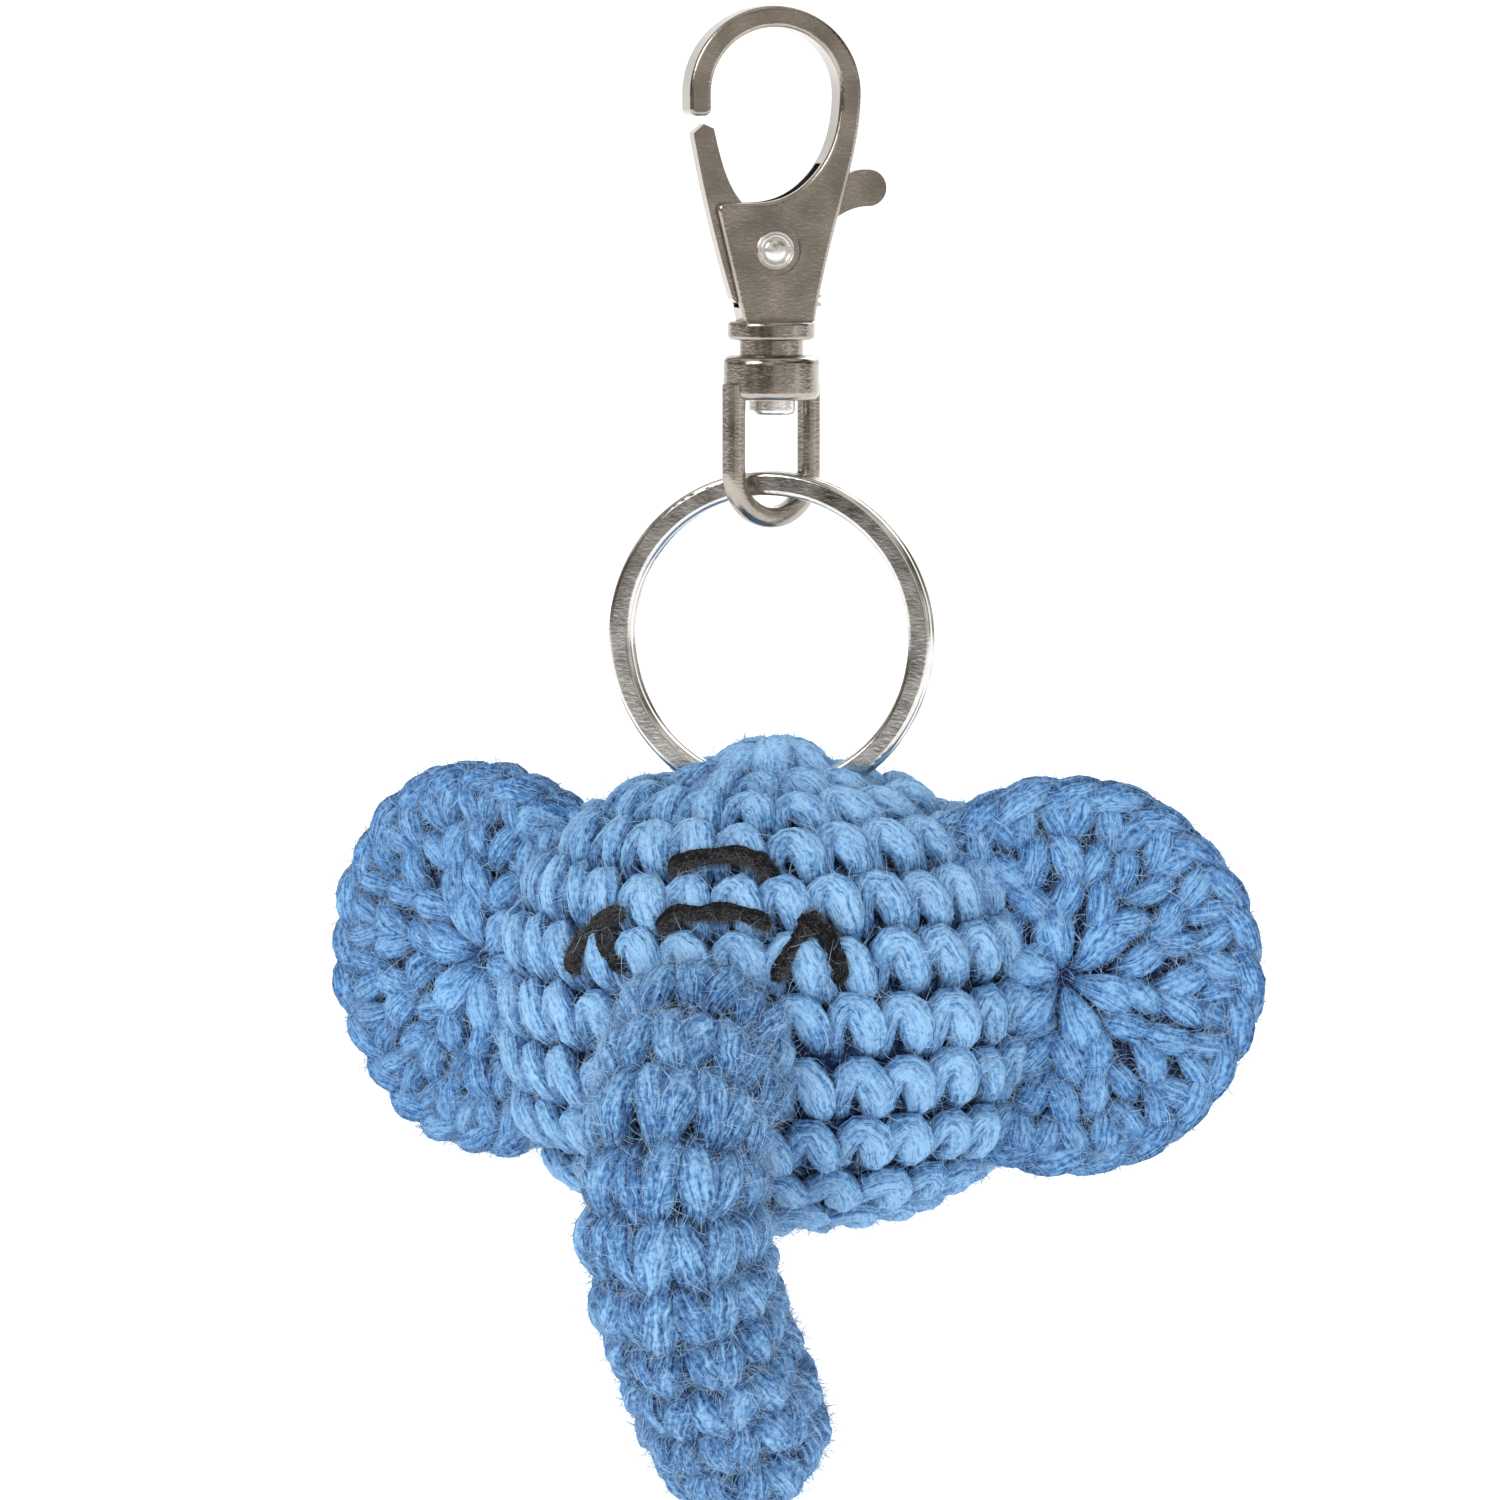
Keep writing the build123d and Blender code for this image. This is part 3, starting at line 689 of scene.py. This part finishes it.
def trunk_parts(rng):
    """Rounds of V stitches down the trunk and the long stitches gathered at its tip."""
    parts = []
    length = TRUNK_ARC[-1]
    rows = int((length + TRUNK_LAST_ROW - TRUNK_ROOT) / TRUNK_ROW)
    for row in range(rows + 1):
        middle = TRUNK_ROOT + (row + 0.5) * TRUNK_ROW
        shift = TRUNK_SHIFT - TRUNK_ROW_SHIFT * row
        for leg in (LEG, LEG * MIRROR):
            control = stitch_row(leg, TRUNK_STITCHES, middle, TRUNK_ROW, shift, rng, TRUNK_SCALE)
            parts.append(stitches_on(on_trunk, control, TRUNK_STITCH_RINGS, rng))
    tip_start = TRUNK_ROOT + (rows + 1) * TRUNK_ROW - TRUNK_TIP_OVERLAP
    tip_end = length + (TRUNK_RADIUS - YARN) * math.pi / 2
    middle, height = (tip_start + tip_end) / 2, (tip_end - tip_start) / (2 * BUNDLE_END)
    control = stitch_row(BUNDLE, TRUNK_TIP_BUNDLES, middle, height, 0.2, rng, TRUNK_TIP_SCALE)
    parts.append(stitches_on(on_trunk, control, BUNDLE_RINGS, rng))
    # Backing painted dark as the shade between the trunk's stitches
    parts.append(backing(on_trunk, 40, np.linspace(1.0, tip_end - 0.4, 48), TRUNK_BACKING_LIFT))
    return parts


# ---------------------------------------------------------------- loose fibres

def ribbons(centres, sides, half_widths, tone):
    """Flat fibres: centres is (fibres, rings, 3) and half_widths is one width for each ring."""
    fibres, rings, _ = centres.shape
    reach = sides[:, None] * half_widths[None, :, None]
    points = np.stack((centres - reach, centres + reach), axis=2)
    vertex = np.arange(fibres * rings * 2).reshape(fibres, rings, 2)
    near, far = vertex[:, :-1], vertex[:, 1:]
    quads = np.stack((near[..., 0], near[..., 1], far[..., 1], far[..., 0]), axis=-1).reshape(-1, 4)
    count = fibres * rings * 2
    return {
        "points": points.reshape(-1, 3),
        "radial": np.zeros((count, 3)),
        "faces": [quads],
        "uv": np.zeros((len(quads), 4, 2)),
        "lift": np.zeros(count),
        "tone": np.repeat(tone, rings * 2),
    }


def fuzz_part(parts, count, rng, length=FUZZ_LENGTH):
    """Fine curling fibres standing out from the yarn of some mesh parts, most of them short."""
    points = np.concatenate([part["points"] for part in parts])
    radial = np.concatenate([part["radial"] for part in parts])
    lift = np.concatenate([part["lift"] for part in parts])
    pick = rng.choice(np.flatnonzero(lift > FUZZ_LIFT), count)
    normal = radial[pick]
    heading = unit(normal + rng.normal(0, FUZZ_SPREAD, normal.shape))
    curl = across(rng.normal(0, 1, normal.shape), heading)
    share = rng.uniform(0, 1, (count, 1)) ** FUZZ_SHORTNESS
    reach = length[0] + (length[1] - length[0]) * share
    steps = np.linspace(0, 1, FUZZ_RINGS)
    bend = FUZZ_CURL * curl - FUZZ_DROOP * normal
    root = points[pick] - FUZZ_ROOT_DEPTH * normal
    centres = np.stack([root + reach * (heading * t + bend * t * t) for t in steps], axis=1)
    sides = across(rng.normal(0, 1, normal.shape), heading)
    return ribbons(centres, sides, FUZZ_HALF_WIDTH * (1 - FUZZ_TAPER * steps), rng.uniform(0, 1, count))


# ---------------------------------------------------------------- materials

def node_material(name):
    """New node material with its nodes and links."""
    material = bpy.data.materials.new(name)
    material.use_nodes = True
    return material, material.node_tree.nodes, material.node_tree.links


def ramp(nodes, stops):
    """Colour ramp from (position, linear colour) stops."""
    node = nodes.new("ShaderNodeValToRGB")
    elements = node.color_ramp.elements
    while len(elements) < len(stops):
        elements.new(0.5)
    for element, (position, colour) in zip(elements, stops):
        element.position = position
        element.color = (*colour, 1)
    return node


def maths(nodes, links, operation, first, second=None, third=None):
    """Maths node fed by sockets or numbers."""
    node = nodes.new("ShaderNodeMath")
    node.operation = operation
    for slot, value in enumerate((first, second, third)):
        if value is None:
            continue
        if isinstance(value, (int, float)):
            node.inputs[slot].default_value = value
        else:
            links.new(value, node.inputs[slot])
    return node.outputs[0]


def noise(nodes, links, vector, scale, detail=2):
    """Noise texture read at a vector."""
    texture = nodes.new("ShaderNodeTexNoise")
    texture.inputs["Scale"].default_value = scale
    texture.inputs["Detail"].default_value = detail
    links.new(vector, texture.inputs["Vector"])
    return texture.outputs["Fac"]


def attribute(nodes, name):
    """Value of a mesh attribute."""
    node = nodes.new("ShaderNodeAttribute")
    node.attribute_name = name
    return node.outputs["Fac"]


def bumped(nodes, links, height, strength, distance):
    """Bump from a height socket, joined to the shader."""
    bump = nodes.new("ShaderNodeBump")
    bump.inputs["Strength"].default_value = strength
    bump.inputs["Distance"].default_value = distance * MM
    links.new(height, bump.inputs["Height"])
    links.new(bump.outputs[0], nodes["Principled BSDF"].inputs["Normal"])


def yarn_material(name, deep, middle, bright, base_level):
    """Soft spun wool: fibres streaking along the yarn, painted shade that deepens the colour into the gaps
    between stitches, painted highlight on their raised crowns, and sheen.
    """
    material, nodes, links = node_material(name)
    shader = nodes["Principled BSDF"]
    coordinates = nodes.new("ShaderNodeTexCoord")
    here = coordinates.outputs["Object"]
    split = nodes.new("ShaderNodeSeparateXYZ")
    links.new(coordinates.outputs["UV"], split.inputs[0])
    lift, tone = attribute(nodes, "lift"), attribute(nodes, "tone")
    wander = noise(nodes, links, here, WANDER_SCALE)
    round_yarn = maths(nodes, links, "MULTIPLY_ADD", wander, WANDER_REACH, split.outputs[0])
    along = nodes.new("ShaderNodeCombineXYZ")
    for slot, (value, stretch) in enumerate(zip((round_yarn, split.outputs[1], tone), STREAK_STRETCH)):
        links.new(maths(nodes, links, "MULTIPLY", value, stretch), along.inputs[slot])
    streak = noise(nodes, links, along.outputs[0], 1.0, 3)
    ply = maths(nodes, links, "SINE", maths(nodes, links, "MULTIPLY", round_yarn, TURN * PLIES))
    matted = noise(nodes, links, here, MATTED_SCALE, 4)
    patch = noise(nodes, links, here, PATCH_SCALE, 2)
    level = base_level - YARN_LEVEL_DROP
    for value, share in zip((lift, streak, matted, patch, ply, tone), YARN_LEVEL_SHARES):
        level = maths(nodes, links, "MULTIPLY_ADD", value, share, level)
    # Painted shade and highlight: the lift share of the level turns low yarn deep and raised yarn bright; the
    # streaks, mat, patches, plies and tone are the yarn's own variation
    colours = ramp(nodes, ((0.08, deep), (0.50, middle), (0.92, bright)))
    links.new(level, colours.inputs[0])
    links.new(colours.outputs[0], shader.inputs["Base Color"])
    height = maths(nodes, links, "MULTIPLY_ADD", matted, 1.2, streak)
    bumped(nodes, links, height, 1.0, YARN_BUMP)
    shader.inputs["Roughness"].default_value = 0.95
    shader.inputs["Specular IOR Level"].default_value = 0.08
    shader.inputs["Sheen Weight"].default_value = 0.30
    shader.inputs["Sheen Roughness"].default_value = 0.6
    shader.inputs["Sheen Tint"].default_value = (*bright, 1)
    return material


def fibre_material(name, colour):
    """Thin loose fibres, darker or lighter at random."""
    material, nodes, links = node_material(name)
    shader = nodes["Principled BSDF"]
    darker = tuple(DARKEST_FIBRE * value for value in colour)
    colours = ramp(nodes, ((0.0, darker), (1.0, colour)))
    links.new(attribute(nodes, "tone"), colours.inputs[0])
    links.new(colours.outputs[0], shader.inputs["Base Color"])
    shader.inputs["Roughness"].default_value = 0.8
    shader.inputs["Sheen Weight"].default_value = 0.4
    return material


def nickel_material(name, colour, roughness, grain):
    """Polished nickel plate with faint pitting, fine scratches and patchy polish."""
    material, nodes, links = node_material(name)
    shader = nodes["Principled BSDF"]
    coordinates = nodes.new("ShaderNodeTexCoord")
    here = coordinates.outputs["Object"]
    stretch = nodes.new("ShaderNodeMapping")
    stretch.inputs["Scale"].default_value = SCRATCH_STRETCH
    links.new(here, stretch.inputs["Vector"])
    patches = noise(nodes, links, here, POLISH_SCALE, 4)
    scratches = noise(nodes, links, stretch.outputs[0], SCRATCH_SCALE, 4)
    dull = tuple(DULL_METAL * value for value in colour)
    colours = ramp(nodes, ((0.3, dull), (0.62, colour)))
    links.new(patches, colours.inputs[0])
    links.new(colours.outputs[0], shader.inputs["Base Color"])
    rough = maths(nodes, links, "MULTIPLY_ADD", patches, 0.22, roughness - 0.08)
    links.new(rough, shader.inputs["Roughness"])
    height = maths(nodes, links, "MULTIPLY_ADD", scratches, 1.2, patches)
    bumped(nodes, links, height, grain, METAL_BUMP)
    shader.inputs["Metallic"].default_value = 1.0
    return material


# ---------------------------------------------------------------- studio

def add_studio():
    """Pale paper floor that curves up behind the piece."""
    floor_z = cad_box[0][2] - FLOOR_GAP
    material, nodes, links = node_material("studio_paper")
    shader = nodes["Principled BSDF"]
    grain = nodes.new("ShaderNodeTexNoise")
    grain.inputs["Scale"].default_value = 60
    shade = ramp(nodes, ((0.3, (0.90, 0.90, 0.90)), (0.7, (0.94, 0.94, 0.94))))
    links.new(grain.outputs["Fac"], shade.inputs[0])
    links.new(shade.outputs[0], shader.inputs["Base Color"])
    shader.inputs["Roughness"].default_value = 0.9
    shader.inputs["Emission Color"].default_value = (1, 1, 1, 1)
    shader.inputs["Emission Strength"].default_value = PAPER_GLOW
    edges = (-PAPER_HALF_WIDTH, PAPER_HALF_WIDTH)
    points = [(x, y, floor_z + z) for y, z in PAPER_PROFILE for x in edges]
    faces = [(2 * i, 2 * i + 1, 2 * i + 3, 2 * i + 2) for i in range(len(PAPER_PROFILE) - 1)]
    mesh = bpy.data.meshes.new("paper_sweep")
    mesh.from_pydata(points, [], faces)
    mesh.shade_smooth()
    mesh.materials.append(material)
    sweep = bpy.data.objects.new("paper_sweep", mesh)
    bpy.context.scene.collection.objects.link(sweep)


def add_light(name, place, aim, size, power, mirrored):
    """Soft area light at a place, aimed at a point, mirrored in the metal or not."""
    light = bpy.data.lights.new(name, "AREA")
    light.shape = "DISK"
    light.size = size
    light.energy = power
    lamp = bpy.data.objects.new(name, light)
    lamp.location = place
    lamp.rotation_euler = (Vector(aim) - Vector(place)).to_track_quat("-Z", "Y").to_euler()
    lamp.visible_glossy = mirrored
    bpy.context.scene.collection.objects.link(lamp)


def add_camera():
    """Camera a little to the elephant's left and above."""
    azimuth, elevation = math.radians(CAMERA_AZIMUTH), math.radians(CAMERA_ELEVATION)
    toward = Vector((math.sin(azimuth), -math.cos(azimuth), 0.0)) * math.cos(elevation)
    toward.z = math.sin(elevation)
    camera = bpy.data.cameras.new("camera")
    camera.sensor_width = SENSOR_WIDTH
    camera.lens = SENSOR_WIDTH * CAMERA_DISTANCE / VIEW_WIDTH
    camera.clip_start = 0.01
    holder = bpy.data.objects.new("camera", camera)
    rightward = Vector((math.cos(azimuth), math.sin(azimuth), 0.0))
    aim = Vector(CAMERA_MIDDLE) - CAMERA_SHIFT * rightward
    holder.location = aim + toward * CAMERA_DISTANCE
    holder.rotation_euler = (aim - holder.location).to_track_quat("-Z", "Y").to_euler()
    bpy.context.scene.collection.objects.link(holder)
    bpy.context.scene.camera = holder


def add_world():
    """White surroundings for the camera and soft surfaces, a warm grey room in metal reflections."""
    world = bpy.data.worlds.new("studio")
    bpy.context.scene.world = world
    world.use_nodes = True
    nodes, links = world.node_tree.nodes, world.node_tree.links
    soft = nodes["Background"]
    soft.inputs["Color"].default_value = (*SOFT_COLOUR, 1)
    soft.inputs["Strength"].default_value = SOFT_STRENGTH
    seen = nodes.new("ShaderNodeBackground")
    seen.inputs["Color"].default_value = (1, 1, 1, 1)
    coordinates = nodes.new("ShaderNodeTexCoord")
    clouds = noise(nodes, links, coordinates.outputs["Generated"], ROOM_SCALE, 1)
    room = ramp(nodes, ROOM_STOPS)
    split = nodes.new("ShaderNodeSeparateXYZ")
    links.new(coordinates.outputs["Generated"], split.inputs[0])
    above = maths(nodes, links, "MULTIPLY_ADD", split.outputs[2], ROOM_LIGHTER_ABOVE, clouds)
    links.new(above, room.inputs[0])
    mirrored = nodes.new("ShaderNodeBackground")
    links.new(room.outputs[0], mirrored.inputs["Color"])
    path = nodes.new("ShaderNodeLightPath")
    shown = soft
    for ray, background in (("Is Glossy Ray", mirrored), ("Is Camera Ray", seen)):
        mix = nodes.new("ShaderNodeMixShader")
        links.new(path.outputs[ray], mix.inputs[0])
        links.new(shown.outputs[0], mix.inputs[1])
        links.new(background.outputs[0], mix.inputs[2])
        shown = mix
    links.new(shown.outputs[0], nodes["World Output"].inputs["Surface"])


# ---------------------------------------------------------------- pieces

# Yarn: darkest colour (painted shade in the gaps and dark fibre streaks), middle colour, lightest colour
# (painted highlight on the crowns and light fibre streaks) and the level they start from
SHADE_AND_STREAK_BLUE = (0.012, 0.020, 0.085)
BLUE = yarn_material("blue_yarn", SHADE_AND_STREAK_BLUE, (0.105, 0.265, 0.54), (0.33, 0.58, 0.86), 0.42)
# Painted shade: the trunk and the ears are the head's blue yarn, made darker in colour and level, with deeper
# shade in the ears' gaps
TRUNK_BLUE_SHADED = yarn_material("trunk_yarn_shaded", SHADE_AND_STREAK_BLUE, (0.085, 0.22, 0.46), (0.31, 0.55, 0.82), 0.10)
EAR_BLUE_SHADED = yarn_material("ear_yarn", (0.010, 0.016, 0.075), (0.080, 0.225, 0.50), (0.28, 0.53, 0.84), 0.30)
BLACK = yarn_material("black_yarn", (0.003, 0.003, 0.004), (0.011, 0.011, 0.013), (0.055, 0.055, 0.06), 0.47)
FILLING = yarn_material("fibre_filling", (0.55, 0.55, 0.55), (0.78, 0.78, 0.77), (0.92, 0.92, 0.91), 0.6)
LOOSE_BLUE = fibre_material("loose_blue_fibre", (0.38, 0.60, 0.84))
LOOSE_BLACK = fibre_material("loose_dark_fibre", (0.080, 0.070, 0.062))

# Metal: colour, roughness and strength of the grain
NICKEL = nickel_material("nickel_cast", (0.44, 0.395, 0.345), 0.18, 0.32)
NICKEL_RIVET = nickel_material("nickel_rivet", (0.88, 0.86, 0.83), 0.22, 0.3)
SPRING_STEEL = nickel_material("spring_steel", (0.45, 0.44, 0.43), 0.3, 0.2)
NICKEL_WIRE = nickel_material("nickel_wire", (0.74, 0.72, 0.69), 0.16, 0.15)


def add_head():
    """Crocheted head, loose fibres included."""
    rng = np.random.default_rng(HEAD_SEED)
    parts = head_parts(rng)
    head = build("crocheted_head", parts, BLUE)
    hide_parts("head_cover")
    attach(head, "head")
    fuzz = build("head_fuzz", [fuzz_part(parts[:-1], HEAD_FIBRES, rng)], LOOSE_BLUE)
    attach(fuzz, "head")


def add_ear(side, name):
    """One crocheted ear, loose fibres included."""
    rng = np.random.default_rng(LEFT_EAR_SEED if side > 0 else RIGHT_EAR_SEED)
    parts = ear_parts(side, rng)
    ear = build(f"crocheted_{name}", parts + [ear_core(side)], EAR_BLUE_SHADED)
    fuzz = build(f"{name}_fuzz", [fuzz_part(parts, EAR_FIBRES, rng)], LOOSE_BLUE)
    for piece in (ear, fuzz):
        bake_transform(piece)
    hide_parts(name)


def add_trunk():
    """Crocheted trunk, loose fibres included."""
    rng = np.random.default_rng(TRUNK_SEED)
    parts = trunk_parts(rng)
    trunk = build("crocheted_trunk", parts, TRUNK_BLUE_SHADED)
    fuzz = build("trunk_fuzz", [fuzz_part(parts[:-1], TRUNK_FIBRES, rng)], LOOSE_BLUE)
    for piece in (trunk, fuzz):
        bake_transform(piece)
    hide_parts("trunk_cover")


def embroidery_part(strand, rng):
    """One strand of black yarn through points of turn and height, its ends tucked into the stitches."""
    turns = np.radians([turn for turn, _ in strand])
    heights = np.array([height for _, height in strand])
    falling = slice(0, len(HEAD_ARC) // 2 + 60)
    raised = HEAD_Z + EMBROIDERY_LIFT * HEAD_N[:, 1]
    arcs = np.interp(-heights, -raised[falling], HEAD_ARC[falling])
    line = on_head(turns, arcs, np.full(len(arcs), EMBROIDERY_LIFT))
    inward = on_head(turns, arcs, np.full(len(arcs), EMBROIDERY_LIFT - 1.0)) - line
    onward, depth = EMBROIDERY_TUCK
    start = line[0] + onward * unit(line[0] - line[1]) + depth * inward[0]
    finish = line[-1] + onward * unit(line[-1] - line[-2]) + depth * inward[-1]
    rings = EMBROIDERY_RINGS
    fine = smooth_through(np.concatenate((start[None], line, finish[None]))[None], rings)
    fine = fine + smoothed(rng.normal(0, EMBROIDERY_WOBBLE, fine[0].shape), 2)[None]
    swell = smoothed(rng.normal(0, EMBROIDERY_SWELL, (rings, 1)), 2)[None, :, 0]
    width = EMBROIDERY_RADIUS * (1 + swell)
    angles = np.linspace(0, TURN, 24, endpoint=False)
    upward = np.array([[0.0, 0.0, 1.0]])
    shade = np.full(fine.shape[:2], EMBROIDERY_SHADE)
    return tubes(fine, upward, width, width, angles, EMBROIDERY_RIDGE, EMBROIDERY_TWIST, shade, EVEN_TONE)


def add_embroidery():
    """Black yarn of the closed eyes and the forehead stitches."""
    rng = np.random.default_rng(EMBROIDERY_SEED)
    for node, strands in EMBROIDERY.items():
        parts = [embroidery_part(strand, rng) for strand in strands]
        yarn = build(f"black_{node}", parts, BLACK)
        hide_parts(node)
        fibres = fuzz_part(parts, EMBROIDERY_FIBRES, rng, EMBROIDERY_FUZZ_LENGTH)
        fuzz = build(f"{node}_fuzz", [fibres], LOOSE_BLACK)
        for piece in (yarn, fuzz):
            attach(piece, "head")


def stuffing_part(surface, columns, arcs, lift, rng):
    """Matted filling just inside a cover, its surface pushed about in lumps."""
    turn, arc = np.meshgrid(np.linspace(0, TURN, columns, endpoint=False), arcs)
    rough = np.zeros(turn.shape)
    for _ in range(FILLING_WAVES):
        waves, phase = rng.integers(1, 7, 2), rng.uniform(0, TURN, 2)
        rough += np.sin(waves[0] * turn + phase[0]) * np.sin(waves[1] * arc / 4 + phase[1])
    return skin(surface(turn, arc, lift + FILLING_ROUGHNESS * rough), FILLING_SHADE)


def add_stuffing():
    """Fibre filling of the head and of the trunk, seen only where the covers are opened."""
    rng = np.random.default_rng(FILLING_SEED)
    arcs = np.linspace(HEAD_FILLING_START, HEAD_ARC[-1] - 0.5, FILLING_ROWS)
    filling = stuffing_part(on_head, 90, arcs, HEAD_FILLING_LIFT, rng)
    head = build("head_fibre_filling", [filling], FILLING)
    arcs = np.linspace(TRUNK_FILLING_START, TRUNK_ARC[-1] - 2.5, FILLING_ROWS)
    lift = np.interp(arcs, TRUNK_FILLING_TAPER, TRUNK_FILLING_LIFT)[:, None]
    filling = stuffing_part(on_trunk, 48, arcs, lift, rng)
    trunk = build("trunk_fibre_filling", [filling], FILLING)
    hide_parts("head_stuffing")
    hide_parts("trunk_stuffing")
    for piece, body in ((head, "head"), (trunk, "trunk")):
        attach(piece, body)


def seam_line(node, order):
    """Middle line of a seam yarn of the frame, its points put in order by a function of the points."""
    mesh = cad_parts[node].data
    points = np.empty(len(mesh.vertices) * 3, np.float32)
    mesh.vertices.foreach_get("co", points)
    points = points.reshape(-1, 3) / MM
    place = order(points)
    edges = np.linspace(place.min(), place.max(), SEAM_SAMPLES + 1)
    middles = [points[(place >= low) & (place <= high)] for low, high in zip(edges, edges[1:])]
    return np.array([(group.min(axis=0) + group.max(axis=0)) / 2 for group in middles if len(group)])


def whip_stitches(line, rng):
    """Yarn wound round a seam line, as the overcast stitches that join two crocheted pieces."""
    count = SEAM_RINGS_PER_POINT * len(line)
    fine = smooth_through(line[None], count)[0]
    tangent = unit(np.gradient(fine, axis=0))
    first = across(np.array((0.0, -1.0, 0.0)), tangent)
    second = np.cross(tangent, first)
    steps = np.linalg.norm(np.diff(fine, axis=0), axis=1)
    angle = TURN * np.concatenate(((0,), np.cumsum(steps))) / SEAM_PITCH
    coil = fine + SEAM_COIL * (np.cos(angle)[:, None] * first + np.sin(angle)[:, None] * second)
    coil = coil + smoothed(rng.normal(0, SEAM_WOBBLE, coil.shape), 3)
    width = np.full((1, count), SEAM_HALF_WIDTH)
    shade = np.full((1, count), SEAM_SHADE)
    angles = section_angles()
    return tubes(coil[None], first[:1], width, width, angles, RIDGE_DEPTH, PLY_TWIST, shade, EVEN_TONE)


def up_the_ear(points):
    """Height of each point."""
    return points[:, 2]


def round_trunk(points):
    """Angle of each point round the root of the trunk, open at the top."""
    middle = (points.min(axis=0) + points.max(axis=0)) / 2
    return np.arctan2(points[:, 0] - middle[0], middle[2] - points[:, 2])


def add_seams():
    """Overcast yarn where the ears and the trunk are sewn to the head."""
    rng = np.random.default_rng(SEAM_SEED)
    seams = (
        ("left_ear_seam_yarn", up_the_ear),
        ("right_ear_seam_yarn", up_the_ear),
        ("trunk_seam_yarn", round_trunk),
    )
    for node, order in seams:
        yarn = build(f"overcast_{node}", [whip_stitches(seam_line(node, order), rng)], BLUE)
        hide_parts(node)
        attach(yarn, "head")


def rivet_profile():
    """Radius and height from the middle of one head, over its rim, to the end of the shaft."""
    radius = np.linspace(RIVET_MIDDLE, RIVET_HEAD_RADIUS, 60)
    dome = RIVET_DOME_HEIGHT * np.sqrt(np.clip(1 - (radius / RIVET_DOME_RADIUS) ** 2, 0, 1))
    rings = sum(np.exp(-((radius - ring) / RIVET_RING_WIDTH) ** 2) for ring in RIVET_RINGS)
    head = np.maximum(RIVET_PLATE_HEIGHT, np.maximum(dome, RIVET_RING_HEIGHT * rings))
    radius = np.append(radius, (RIVET_HEAD_RADIUS, RIVET_SHAFT_RADIUS))
    height = RIVET_FLOOR + np.append(head, (RIVET_SEAT_GAP, RIVET_SEAT_GAP))
    return radius, height


def add_rivet():
    """Rivet that the gate turns on: a shaft with a domed, ringed head at both ends."""
    low, high = (np.array(corner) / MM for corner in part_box("gate_rivet"))
    centre = (low + high) / 2
    axis = np.array((math.sin(CLASP_TURN), -math.cos(CLASP_TURN), 0.0))
    sideways = np.array((math.cos(CLASP_TURN), math.sin(CLASP_TURN), 0.0))
    upward = np.array((0.0, 0.0, 1.0))
    radius, height = rivet_profile()
    radius = np.append(radius, radius[::-1])
    height = np.append(height, -height[::-1])
    turn = np.linspace(0, TURN, 64, endpoint=False)
    ring = np.cos(turn)[:, None] * sideways - np.sin(turn)[:, None] * upward
    points = centre + radius[:, None, None] * ring[None] + height[:, None, None] * axis
    rivet = build("ringed_gate_rivet", [skin(points, 0.0)], NICKEL_RIVET)
    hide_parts("gate_rivet")
    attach(rivet, "clasp")


def finish_metal():
    """Nickel finish on the metal nodes of the frame."""
    for node in ("hook_body", "gate_lever", "swivel_eye"):
        paint(node, NICKEL)
    paint("swivel_rivet", NICKEL_RIVET)
    paint("split_ring", NICKEL_WIRE)
    paint("gate_spring", SPRING_STEEL)


def paint(node, material):
    """Give a node of the frame a material."""
    mesh_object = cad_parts[node]
    for slot in mesh_object.material_slots:
        slot.material = material


add_world()
add_studio()
for light_values in LIGHTS:
    add_light(*light_values)
add_camera()
finish_metal()
add_rivet()
add_head()
add_ear(1, "left_ear")
add_ear(-1, "right_ear")
add_trunk()
add_embroidery()
add_stuffing()
add_seams()
bpy.context.scene.view_settings.view_transform = "Standard"
